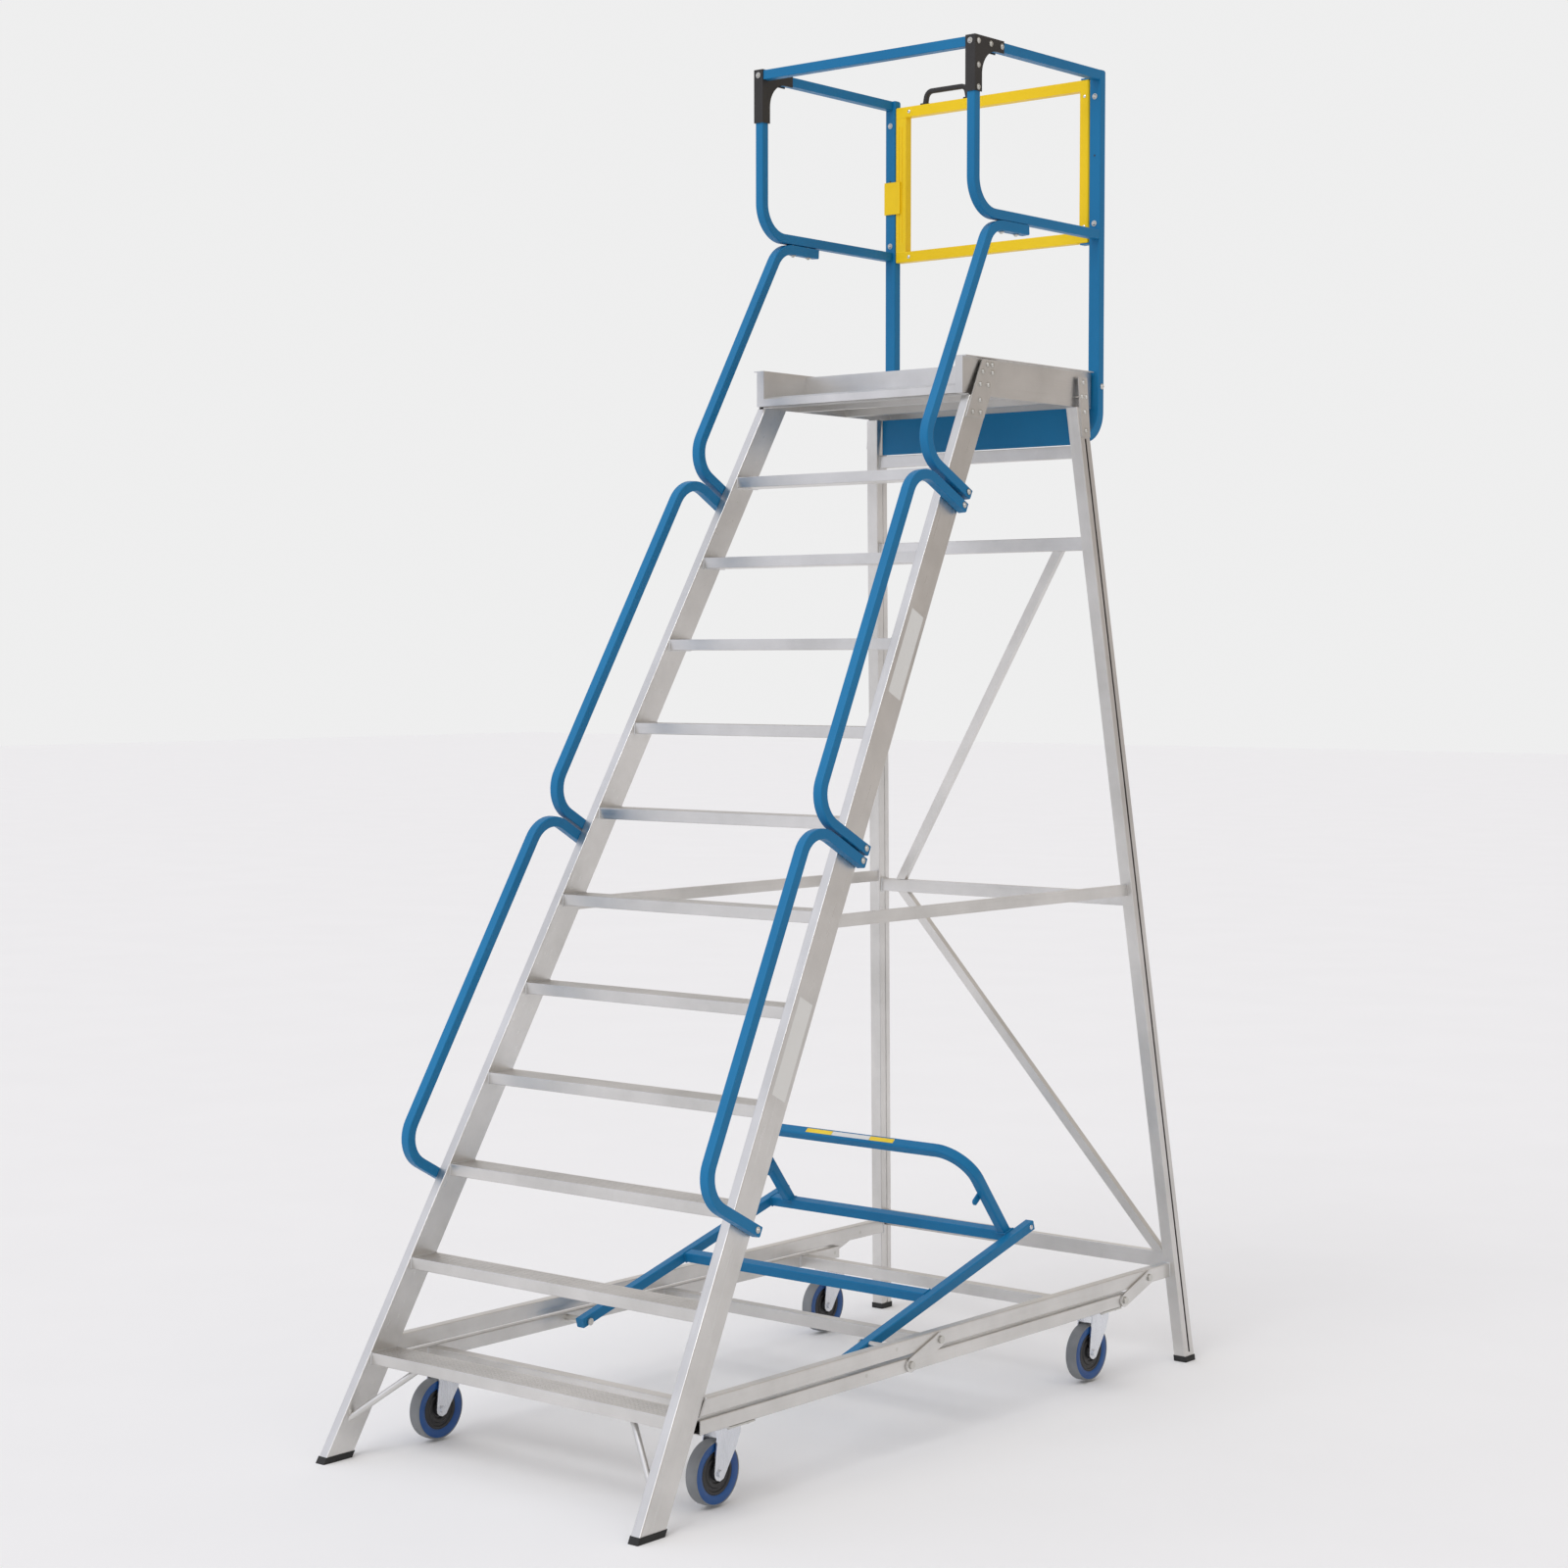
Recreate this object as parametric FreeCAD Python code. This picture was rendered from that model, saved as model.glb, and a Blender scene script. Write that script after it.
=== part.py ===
"""Mobile platform ladder with a lever-lowered castor carriage.

X runs across the steps (positive on the right-hand stile), Y from the climbing side to the
back, Z up from the floor. All sizes are in millimetres.
"""
import FreeCAD, Part
import math
import os

from FreeCAD import Vector

os.makedirs("parts", exist_ok=True)

# ---------------------------------------------------------------- driving dimensions
HALF_DEPTH = 1305.0          # floor contact runs from -HALF_DEPTH to +HALF_DEPTH in Y
CAP_H = 18.0                 # rubber foot cap height
CAP_WALL = 2.0

STEP_COUNT = 11
STEP_FIRST_Z = 289.0         # tread height of the lowest step
STEP_RISE = 251.0
STEP_H = 33.0
STEP_DEPTH = 98.0
STEP_WALL = 2.5
STEP_GROOVES = 6
STEP_GROOVE_W = 4.0
STEP_GROOVE_H = 1.0
STEP_EDGE_R = 2.0

STILE_W = 32.0               # across X
STILE_D = 102.0              # horizontal depth of the inclined section
STILE_WALL = 3.0
STILE_OUTER_X0 = 606.5       # outer face at floor level
STILE_FLARE = 0.0654         # inward lean per unit height
STILE_SLOPE = 0.5563         # backward lean per unit height
STILE_TOP_Z = 3016.0

LEG_W = 42.0
LEG_D = 54.0
LEG_WALL = 3.0
LEG_OUTER_X0 = 632.4
LEG_FLARE = 0.0729
LEG_SLOPE = 0.1068           # forward lean per unit height
LEG_TOP_Z = 3016.0
LEG_GROOVE_W = 10.0
LEG_GROOVE_D = 1.5
LEG_SLOT_W = 8.0             # open slot in the outer wall
LEG_SLOT_Z = (30.0, 2920.0)
EDGE_R = 3.0                 # outside edge radius of the extruded sections
VENT_R = 3.0                 # vent holes into closed sections

DECK_Z = 3050.0
DECK_SHEET = 4.0
DECK_HALF_W = 396.0
DECK_FLANGE_Z = 3018.0
DECK_FRONT_Y = 385.0
DECK_REAR_Y = 1030.0
NOSING_FRONT_Y = 353.0
NOSING_H = 28.0
TOE_IN_X = 368.0
TOE_W = 28.0
TOE_TOP_Z = 3132.0
TOE_END_LOW_Z = 3022.0       # the front ends reach down past the nosing
TOE_FLANGE = 12.0
TOE_WALL = 3.0
TOE_CROSS_Y = 560.0

BASE_RAIL_X = (560.0, 590.0)
BASE_RAIL_Z = (275.0, 320.0)
BASE_RAIL_WALL = 3.0
CARRIAGE_RAIL_Z = (226.0, 266.0)
CARRIAGE_RAIL_Y = (-1045.0, 975.0)
CROSSBAR_Y = (-900.0, 115.0, 790.0)   # carriage crossbar centres
CROSSBAR_D = 40.0

LINK_DY = 138.0              # parallel links: upper pivot is this far behind the lower pivot
LINK_DZ = 49.0
PIVOT_LOW_Z = 246.0
LEVER_LOW_Y = -346.0
LEVER_LOW_Z = 252.0
MID_LINK_LOW_Y = -148.0
REAR_LINK_LOW_Y = 952.0
LINK_T = 6.0
LINK_HALF_H = 21.0
PIVOT_R = 6.0
PIVOT_CLEARANCE = 0.06
PLAY_X = 0.6                 # side play between a link and its rail

LEVER_ARM_X = (465.0, 495.0)
LEVER_ARM_H = 30.0
LEVER_SLOPE = 0.28           # rise of the parked arms per unit length
LEVER_START = (-346.0, 257.0)          # (y, z) on the arm's centre line at its lower pivot
LEVER_FRONT = 27.0           # arm length in front of that point
LEVER_ARM_END_Y = 600.0
LEVER_CROSS_Y = (102.0, 520.0)
LEVER_TUBE = 32.0
LEVER_WALL = 2.5
LEVER_EDGE_R = 3.5
SLEEVE_R = 10.0              # stand-off sleeves between the arms and the rails
HOOP_TUBE = 32.0
HOOP_CORNER_R = 7.0
HOOP_X = (-395.0, 447.0)     # leg centres; the hoop stands off centre on the lever
HOOP_TILT = 38.0             # degrees forward of upright while parked
HOOP_H = 346.0               # top tube centre above the crossbar centre, along the hoop
HOOP_BEND_R = 107.0
HOOP_TAB_H = 175.0           # height of the tabs on the hoop legs

WHEEL_R = 88.0
WHEEL_W = 38.0
WHEEL_GAP = 6.0              # wheels hang just clear of the floor while the ladder is parked
WHEEL_X = 525.0
CASTOR_TRAIL = 46.0
CASTOR_AXIS_Y = (-877.0, 890.0)
AXLE_R = 6.0
HUB_R = 17.0
RIM_R = 60.0
FORK_T = 4.0
FORK_GAP = 4.0
PLATE_T = 5.0
KINGPIN_R = 9.0

GUARD_TUBE = 29.0
GUARD_WALL = 2.5
GUARD_X = 405.5              # tube centre
GUARD_FRONT_Y = 389.5
GUARD_POST_Y = 1052.0
GUARD_TOP_Z = 4046.0         # tube centre
GUARD_LOW_Z = 3556.0
GUARD_BEND_R = 100.0
POST_HEAD_R = 12.0           # outside radius at the head of the rear posts
POST_X = (380.0, 420.0)      # rear posts: wider than the rails, same depth
POST_D = 30.0
POST_FOOT_Z = 2925.0
POST_FOOT_Y = 945.0          # the bent foot starts inside the leg and is cut by its rear face
POST_FOOT_R = 85.0

GATE_X = (-377.0, 377.0)
GATE_Z = (3535.0, 4036.0)
GATE_TUBE = 33.0             # rails and hinge upright
GATE_LATCH_W = 40.0          # latch upright
GATE_DEPTH = 28.0
GATE_WALL = 2.5
GATE_HINGE_R = 10.0          # outer edges of the hinge upright, rounded to clear the post
GATE_HINGE_WALL = 8.0
GATE_PIN_R = 5.0

RAIL_TUBE = 30.0             # handrail tube
RAIL_WALL = 2.5
RAIL_STANDOFF = 160.0        # tube centre in front of the stile edge
RAIL_BEND_R = 90.0
RAIL_BOLT_N = -76.0          # bolt line behind the stile edge
RAIL_END = 16.0              # closed tube end past the bolt
RAIL_SPANS = ((878.0, 1965.0), (2003.0, 3120.0))
RAIL_TOP_START = 3165.0

CORNER_R = 3.5               # outside corner radius of drawn tube


# ---------------------------------------------------------------- helpers
def save(name, *solids):
    """Write one named node, as one solid or a group of separate solids."""
    flat = []
    for item in solids:
        flat.extend(item.Solids)
    shape = flat[0] if len(flat) == 1 else Part.makeCompound(flat)
    shape.exportStep("parts/" + name + ".step")


def box(x, y, z):
    """Box between the limits given as (low, high) pairs."""
    return Part.makeBox(x[1] - x[0], y[1] - y[0], z[1] - z[0], Vector(x[0], y[0], z[0]))


def mirrored(shape):
    return shape.mirror(Vector(0, 0, 0), Vector(1, 0, 0))


def both_sides(shape):
    return [mirrored(shape), shape]


def cylinder(start, direction, radius, length):
    return Part.makeCylinder(radius, length, start, direction)


def slab(x, y, z0, lean, height):
    """Prism with a level rectangular section that leans by (dx, dy) per unit height."""
    corners = [Vector(x[0], y[0], z0), Vector(x[1], y[0], z0),
               Vector(x[1], y[1], z0), Vector(x[0], y[1], z0)]
    face = Part.Face(Part.makePolygon(corners + corners[:1]))
    return face.extrude(Vector(lean[0] * height, lean[1] * height, height))


def side_plate(points, x0, x1):
    """Flat plate from a list of (y, z) corners, between two X positions."""
    corners = [Vector(x0, y, z) for y, z in points]
    face = Part.Face(Part.makePolygon(corners + corners[:1]))
    return face.extrude(Vector(x1 - x0, 0, 0))


def rounded(shape, direction, radius):
    """Round the edges of a prism that run along one direction."""
    way = Vector(direction).normalize()
    edges = [e for e in shape.Edges if abs(e.tangentAt(e.FirstParameter).dot(way)) > 0.99999]
    return shape.makeFillet(radius, edges)


def rounded_section(centre, across, up, size, radius):
    """Closed wire: a rectangle (size across, size up) with rounded corners."""
    ha = size[0] / 2.0
    hb = size[1] / 2.0
    ca = ha - radius
    cb = hb - radius
    k = radius * (1.0 - math.sqrt(0.5))

    def at(a, b):
        return centre + across * a + up * b

    edges = []
    for sa, sb in ((1, 1), (-1, 1), (-1, -1), (1, -1)):
        if sa * sb > 0:
            first, last = at(sa * ha, sb * cb), at(sa * ca, sb * hb)
        else:
            first, last = at(sa * ca, sb * hb), at(sa * ha, sb * cb)
        middle = at(sa * (ha - k), sb * (hb - k))
        edges.append(Part.Arc(first, middle, last).toShape())
        nxt = {(1, 1): at(-ca, hb), (-1, 1): at(-ha, -cb), (-1, -1): at(ca, -hb), (1, -1): at(ha, cb)}
        edges.append(Part.LineSegment(last, nxt[(sa, sb)]).toShape())
    return Part.Wire(edges)


def route(points, radii):
    """Wire of straight runs joined by tangent arcs, one radius per inner point."""
    edges = []
    start = points[0]
    for i in range(1, len(points) - 1):
        corner = points[i]
        to_prev = (points[i - 1] - corner).normalize()
        to_next = (points[i + 1] - corner).normalize()
        half = to_prev.getAngle(to_next) / 2.0
        cut = radii[i - 1] / math.tan(half)
        first = corner + to_prev * cut
        last = corner + to_next * cut
        bisector = (to_prev + to_next).normalize()
        middle = corner + bisector * (radii[i - 1] / math.sin(half) - radii[i - 1])
        edges.append(Part.LineSegment(start, first).toShape())
        edges.append(Part.Arc(first, middle, last).toShape())
        start = last
    edges.append(Part.LineSegment(start, points[-1]).toShape())
    return Part.Wire(edges)


def swept(points, radii, normal, size, corner):
    direction = (points[1] - points[0]).normalize()
    up = Vector(normal).normalize()
    across = up.cross(direction)
    pipe = Part.BRepOffsetAPI.MakePipeShell(route(points, radii))
    pipe.setBiNormalMode(up)
    pipe.add(rounded_section(points[0], across, up, size, corner))
    pipe.build()
    pipe.makeSolid()
    return pipe.shape()


def square_tube(points, radii, normal, size, wall, closed=(False, False), corner=CORNER_R):
    """Bent square tube whose route lies in the plane with this normal; each end open or closed."""
    outer = swept(points, radii, normal, (size, size), corner)
    bore = list(points)
    if closed[0]:
        bore[0] = points[0] + (points[1] - points[0]).normalize() * wall
    if closed[1]:
        bore[-1] = points[-1] + (points[-2] - points[-1]).normalize() * wall
    inner = swept(bore, radii, normal, (size - 2 * wall, size - 2 * wall), corner - wall + 0.5)
    return outer.cut(inner)


def straight_tube(x, y, z, wall, axis, edge=2.0):
    """Rectangular tube along one axis, open at both ends."""
    limits = [x, y, z]
    inside = [(lim[0] + wall, lim[1] - wall) for lim in limits]
    inside[axis] = (limits[axis][0] - 1.0, limits[axis][1] + 1.0)
    way = Vector(*[1.0 if i == axis else 0.0 for i in range(3)])
    return rounded(box(x, y, z), way, edge).cut(box(*inside))


def stile_outer(z):
    return STILE_OUTER_X0 - STILE_FLARE * z


def stile_front(z):
    return -HALF_DEPTH + STILE_SLOPE * z


def leg_outer(z):
    return LEG_OUTER_X0 - LEG_FLARE * z


def leg_front(z):
    return HALF_DEPTH - LEG_D - LEG_SLOPE * z


# ---------------------------------------------------------------- fasteners
# Each fastener is (seat point on the surface, outward direction, depth below the seat).
SHANK_R = 3.0
HEAD_R = 7.0
HEAD_H = 4.5
WASHER_R = 9.0
WASHER_H = 1.4
HOLE_R = 3.1
frame_fasteners = []


def add_fastener(seat, outward, depth):
    frame_fasteners.append((Vector(seat), Vector(outward).normalize(), depth))


def fastener_solid(seat, outward, depth, shank=SHANK_R, head=HEAD_R, washer=WASHER_R):
    """Screw with a washer and a domed head standing on the surface."""
    body = cylinder(seat - outward * depth, outward, shank, depth + WASHER_H)
    body = body.fuse(cylinder(seat, outward, washer, WASHER_H))
    dome = Part.makeCone(head, head * 0.55, HEAD_H, seat + outward * WASHER_H, outward)
    return body.fuse(dome).removeSplitter()


def drilled(shape, holes=None):
    """Cut the shank holes of every fastener that reaches this shape."""
    for seat, outward, depth in (frame_fasteners if holes is None else holes):
        drill = cylinder(seat - outward * (depth + 0.5), outward, HOLE_R, depth + 1.0)
        if shape.BoundBox.intersect(drill.BoundBox):
            shape = shape.cut(drill)
    return shape


# ---------------------------------------------------------------- handrail frame of reference
def rail_frame(x_seat_at, x_lean):
    """Origin and unit vectors of a handrail plane: along the stile, and out from its edge."""
    along = Vector(-x_lean, STILE_SLOPE, 1.0).normalize()
    outward = Vector(0, -1.0, STILE_SLOPE).normalize()
    origin = Vector(x_seat_at, -HALF_DEPTH, 0)
    return origin, along, outward


RAIL_X0 = STILE_OUTER_X0 + RAIL_TUBE / 2.0 + 0.2


def rail_point(s, n):
    """Point on the lower handrails' plane: s along the stile, n out from its front edge."""
    origin, along, outward = rail_frame(RAIL_X0, STILE_FLARE)
    point = origin + along * s + outward * n
    point.x = RAIL_X0 - STILE_FLARE * point.z
    return point


def plane_normal(points):
    return (points[1] - points[0]).cross(points[2] - points[1]).normalize()


def lower_handrail(low, high):
    """C-shaped rail that stands out from the stile between two bolted ends."""
    tail = RAIL_BOLT_N - RAIL_END
    points = [rail_point(low, tail), rail_point(low, RAIL_STANDOFF),
              rail_point(high, RAIL_STANDOFF), rail_point(high, tail)]
    return square_tube(points, [RAIL_BEND_R] * 2, plane_normal(points), RAIL_TUBE, RAIL_WALL, (True, True))


UPPER_RAIL_Z = GUARD_LOW_Z - GUARD_TUBE / 2.0 - RAIL_TUBE / 2.0 - 1.4
UPPER_RAIL_GAP = 1.2         # the tilted plane of the top rail needs more room at the stile
UPPER_RAIL_END_Y = 655.0
UPPER_RAIL_BOLT_Y = (537.0, 612.0)
TILT_LIFT = 1.0              # a washer on the tilted tube rests on its higher edge


def upper_handrail():
    """Top rail: from the stile up to the underside of the side guard."""
    first = rail_point(RAIL_TOP_START, RAIL_BOLT_N - RAIL_END) + Vector(UPPER_RAIL_GAP, 0, 0)
    knee = rail_point(RAIL_TOP_START, RAIL_STANDOFF) + Vector(UPPER_RAIL_GAP, 0, 0)
    rise = UPPER_RAIL_Z - knee.z
    top = Vector(GUARD_X, knee.y + rise * STILE_SLOPE, UPPER_RAIL_Z)
    side = (knee - first).cross(top - knee).normalize()
    end_y = UPPER_RAIL_END_Y
    end_x = top.x - side.y * (end_y - top.y) / side.x
    end = Vector(end_x, end_y, UPPER_RAIL_Z)
    points = [first, knee, top, end]
    return square_tube(points, [RAIL_BEND_R] * 2, side, RAIL_TUBE, RAIL_WALL, (True, True))


def rail_end_fastener(s, lift=0.0):
    point = rail_point(s, RAIL_BOLT_N)
    normal = Vector(1.0, 0, STILE_FLARE).normalize()
    seat = point + normal * (RAIL_TUBE / 2.0 + lift)
    add_fastener(seat, normal, RAIL_TUBE + 24.0)
    add_fastener(Vector(-seat.x, seat.y, seat.z), Vector(-normal.x, 0, normal.z),
                 RAIL_TUBE + 24.0)


for low_s, high_s in RAIL_SPANS:
    rail_end_fastener(low_s)
    rail_end_fastener(high_s)
rail_end_fastener(RAIL_TOP_START, UPPER_RAIL_GAP + TILT_LIFT)


def mirrored_fastener(seat, outward, depth):
    add_fastener(seat, outward, depth)
    add_fastener((-seat[0], seat[1], seat[2]), (-outward[0], outward[1], outward[2]), depth)


upper_rail_right = upper_handrail()
for y_bolt in UPPER_RAIL_BOLT_Y:
    mirrored_fastener((GUARD_X - 3.0, y_bolt, UPPER_RAIL_Z - RAIL_TUBE / 2.0 - TILT_LIFT), (0, 0, -1),
                      RAIL_TUBE + 20.0)

# ---------------------------------------------------------------- joint plates at the deck
PLATE_THK = 4.0
stile_plate_z = (2950.0, 3125.0)
leg_plate_z = (2925.0, 3110.0)


def stile_plate():
    """Riveted plate joining the top of the stile to the side of the deck."""
    z0, z1 = stile_plate_z
    y0 = stile_front(z0)
    lean = (-STILE_FLARE, STILE_SLOPE)
    x0 = stile_outer(z0)
    return slab((x0, x0 + PLATE_THK), (y0 + 6.0, y0 + STILE_D - 6.0), z0, lean, z1 - z0)


def leg_plate():
    z0, z1 = leg_plate_z
    x0 = leg_outer(z0)
    return slab((x0, x0 + PLATE_THK), (leg_front(z0) + 4.0, leg_front(z0) + LEG_D - 4.0), z0,
                (-LEG_FLARE, 0.0), z1 - z0)


stile_rivets = ((2966.0, 32.0), (2966.0, 70.0), (3003.0, 50.0), (3050.0, 30.0), (3050.0, 70.0),
                (3088.0, 26.0), (3088.0, 74.0), (3111.0, 38.0), (3111.0, 62.0))
for z, across_y in stile_rivets:
    mirrored_fastener((stile_outer(z) + PLATE_THK, stile_front(z) + across_y, z),
                      (1.0, 0, STILE_FLARE), 22.0)
for z, across_y in ((2945.0, 27.0), (3003.0, 27.0), (3050.0, 15.0), (3050.0, 39.0), (3094.0, 27.0)):
    mirrored_fastener((leg_outer(z) + PLATE_THK, leg_front(leg_plate_z[0]) + across_y, z),
                      (1.0, 0, LEG_FLARE), 22.0)
BRACE_Z = (1495.0, 1530.0)

# ---------------------------------------------------------------- stiles, legs, feet
stile_lean = (-STILE_FLARE, STILE_SLOPE)
leg_lean = (-LEG_FLARE, -LEG_SLOPE)


def stile_section(inset, z0, z1):
    outer = stile_outer(z0)
    front = stile_front(z0)
    depth_inset = inset * math.sqrt(1.0 + STILE_SLOPE ** 2)
    section = slab((outer - STILE_W + inset, outer - inset),
                   (front + depth_inset, front + STILE_D - depth_inset), z0, stile_lean, z1 - z0)
    return section if inset > 0.0 else rounded(section, (stile_lean[0], stile_lean[1], 1.0), EDGE_R)


def leg_section(inset, z0, z1):
    outer = leg_outer(z0)
    front = leg_front(z0)
    section = slab((outer - LEG_W + inset, outer - inset), (front + inset, front + LEG_D - inset),
                   z0, leg_lean, z1 - z0)
    return section if inset > 0.0 else rounded(section, (leg_lean[0], leg_lean[1], 1.0), EDGE_R)


FOOT_FLOOR = 6.0             # solid rubber below the tube end
stile_solid = stile_section(0.0, FOOT_FLOOR, STILE_TOP_Z)
stile_solid = stile_solid.cut(stile_section(STILE_WALL, FOOT_FLOOR - 5.0, STILE_TOP_Z + 5.0))

leg_solid = leg_section(0.0, FOOT_FLOOR, LEG_TOP_Z)
leg_solid = leg_solid.cut(leg_section(LEG_WALL, FOOT_FLOOR - 5.0, LEG_TOP_Z + 5.0))
groove_y = (leg_front(0.0) + LEG_D / 2.0 - LEG_GROOVE_W / 2.0,
            leg_front(0.0) + LEG_D / 2.0 + LEG_GROOVE_W / 2.0)
groove_x = (LEG_OUTER_X0 - LEG_W - 1.0, LEG_OUTER_X0 - LEG_W + LEG_GROOVE_D)
leg_solid = leg_solid.cut(slab(groove_x, groove_y, 0.0, leg_lean, LEG_TOP_Z + 20.0))
slot_low = LEG_SLOT_Z[0]
slot_mid = leg_front(slot_low) + LEG_D / 2.0
leg_solid = leg_solid.cut(slab((leg_outer(slot_low) - LEG_WALL - 0.5, leg_outer(slot_low) + 1.0),
                               (slot_mid - LEG_SLOT_W / 2.0, slot_mid + LEG_SLOT_W / 2.0), slot_low,
                               leg_lean, LEG_SLOT_Z[1] - slot_low))


def foot_cap(section, plug_inset):
    """Rubber cap: a floor pad, a rim round the tube end and a plug inside it."""
    cap = section(-CAP_WALL, 0.0, CAP_H)
    cap = cap.cut(section(0.0, FOOT_FLOOR, CAP_H + 1.0))
    return cap.fuse(section(plug_inset, FOOT_FLOOR - 1.0, CAP_H + 12.0)).removeSplitter()


stile_cap = foot_cap(stile_section, STILE_WALL + 0.1)
leg_cap = foot_cap(leg_section, LEG_WALL + 0.1)
save("stile_right", drilled(stile_solid))
save("stile_left", drilled(mirrored(stile_solid)))
save("rear_leg_right", drilled(leg_solid))
save("rear_leg_left", drilled(mirrored(leg_solid)))
save("foot_caps", *(both_sides(stile_cap) + both_sides(leg_cap)))

# ---------------------------------------------------------------- steps
for index in range(STEP_COUNT):
    top = STEP_FIRST_Z + STEP_RISE * index
    front = stile_front(top) + 3.0
    inner_top = stile_outer(top) - STILE_W
    inner_low = stile_outer(top - STEP_H) - STILE_W
    ends = [Vector(-inner_low, front, top - STEP_H), Vector(inner_low, front, top - STEP_H),
            Vector(inner_top, front, top), Vector(-inner_top, front, top)]
    tread = Part.Face(Part.makePolygon(ends + ends[:1])).extrude(Vector(0, STEP_DEPTH, 0))
    tread = rounded(tread, (1.0, 0, 0), STEP_EDGE_R)
    hollow = box((-700.0, 700.0), (front + STEP_WALL, front + STEP_DEPTH - STEP_WALL),
                 (top - STEP_H + STEP_WALL, top - STEP_WALL - STEP_GROOVE_H))
    web_y = front + STEP_DEPTH / 2.0
    web = box((-700.0, 700.0), (web_y - 1.0, web_y + 1.0), (top - STEP_H, top))
    tread = tread.cut(hollow.cut(web))
    pitch = STEP_DEPTH / (STEP_GROOVES + 1)
    for groove in range(STEP_GROOVES):
        y_mid = front + pitch * (groove + 1)
        tread = tread.cut(box((-700.0, 700.0), (y_mid - STEP_GROOVE_W / 2, y_mid + STEP_GROOVE_W / 2),
                              (top - STEP_GROOVE_H, top + 1.0)))
    save("step_%02d" % (index + 1), tread)

# ---------------------------------------------------------------- fixed base rails and pivots
upper_z = PIVOT_LOW_Z + LINK_DZ
link_pivots = {"mid": MID_LINK_LOW_Y, "rear": REAR_LINK_LOW_Y}
lower_pivots = [(LEVER_LOW_Y, LEVER_LOW_Z)] + [(y, PIVOT_LOW_Z) for y in link_pivots.values()]
upper_pivots = [(y + LINK_DY, z + LINK_DZ) for y, z in lower_pivots]


def pivot_bolt(x_from, x_to, y, z, head_out):
    """Shouldered bolt along X with a washer-faced head at x_to."""
    direction = Vector(1 if x_to > x_from else -1, 0, 0)
    length = abs(x_to - x_from)
    bolt = cylinder(Vector(x_from, y, z), direction, PIVOT_R, length + head_out)
    head = cylinder(Vector(x_to, y, z), direction, PIVOT_R + 5.0, head_out)
    return bolt.fuse(head).removeSplitter()


def lever_pivot(y, z):
    """Long bolt from the rail to the lever arm, with a stand-off sleeve between them."""
    bolt = pivot_bolt(BASE_RAIL_X[1], LEVER_ARM_X[0] - 1.0, y, z, 5.0)
    start = LEVER_ARM_X[1] + PLAY_X
    sleeve = cylinder(Vector(start, y, z), Vector(1, 0, 0), SLEEVE_R, BASE_RAIL_X[0] - start)
    return bolt.fuse(sleeve).removeSplitter()


def x_hole(x, y, z, radius):
    return cylinder(Vector(x[0] - 1.0, y, z), Vector(1, 0, 0), radius, x[1] - x[0] + 2.0)


def base_rail():
    """Fixed side rail from the stile to the rear leg, cut to their slopes."""
    rail = straight_tube(BASE_RAIL_X, (-1200.0, 1300.0), BASE_RAIL_Z, BASE_RAIL_WALL, 1, EDGE_R)
    z0 = BASE_RAIL_Z[0] - 5.0
    height = BASE_RAIL_Z[1] - BASE_RAIL_Z[0] + 10.0
    stile_zone = slab((500.0, 700.0), (-1400.0, stile_front(z0) + STILE_D + 0.1), z0,
                      (0.0, STILE_SLOPE), height)
    leg_zone = slab((500.0, 700.0), (leg_front(z0) - 0.1, 1500.0), z0, (0.0, -LEG_SLOPE), height)
    rail = rail.cut(stile_zone).cut(leg_zone)
    for y, z in upper_pivots:
        rail = rail.cut(x_hole(BASE_RAIL_X, y, z, PIVOT_R + 0.02))
    return rail


save("base_rails", *both_sides(base_rail()))

frame_pins = [lever_pivot(*upper_pivots[0])]
for low_y in link_pivots.values():
    frame_pins.append(pivot_bolt(BASE_RAIL_X[0], BASE_RAIL_X[1] + LINK_T + 2 * PLAY_X,
                                 low_y + LINK_DY, upper_z, 5.0))
save("frame_pivot_bolts", *[side for pin in frame_pins for side in both_sides(pin)])

# ---------------------------------------------------------------- carriage
carriage_pins = [lever_pivot(*lower_pivots[0])]
for low_y in link_pivots.values():
    carriage_pins.append(pivot_bolt(BASE_RAIL_X[0], BASE_RAIL_X[1] + LINK_T + 2 * PLAY_X, low_y,
                                    PIVOT_LOW_Z, 5.0))
save("carriage_pivot_bolts", *[side for pin in carriage_pins for side in both_sides(pin)])

wheel_z = WHEEL_GAP + WHEEL_R
plate_x = (474.0, BASE_RAIL_X[1])
plate_bolts = []
for axis_y in CASTOR_AXIS_Y:
    for dy in (-38.0, 38.0):
        plate_bolts.append((Vector(575.0, axis_y + dy, CARRIAGE_RAIL_Z[0] - PLATE_T),
                            Vector(0, 0, -1), 16.0))
carriage_rail = straight_tube(BASE_RAIL_X, CARRIAGE_RAIL_Y, CARRIAGE_RAIL_Z, BASE_RAIL_WALL, 1, EDGE_R)
for y, z in lower_pivots:
    carriage_rail = carriage_rail.cut(x_hole(BASE_RAIL_X, y, z, PIVOT_R + 0.02))
carriage_rail = drilled(carriage_rail, plate_bolts)
save("carriage_rails", *both_sides(carriage_rail))
save("carriage_crossbars", *[
    straight_tube((-BASE_RAIL_X[0], BASE_RAIL_X[0]), (y - CROSSBAR_D / 2, y + CROSSBAR_D / 2),
                  (CARRIAGE_RAIL_Z[0] + 2.0, CARRIAGE_RAIL_Z[1] - 2.0), BASE_RAIL_WALL, 0)
    for y in CROSSBAR_Y])


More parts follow.
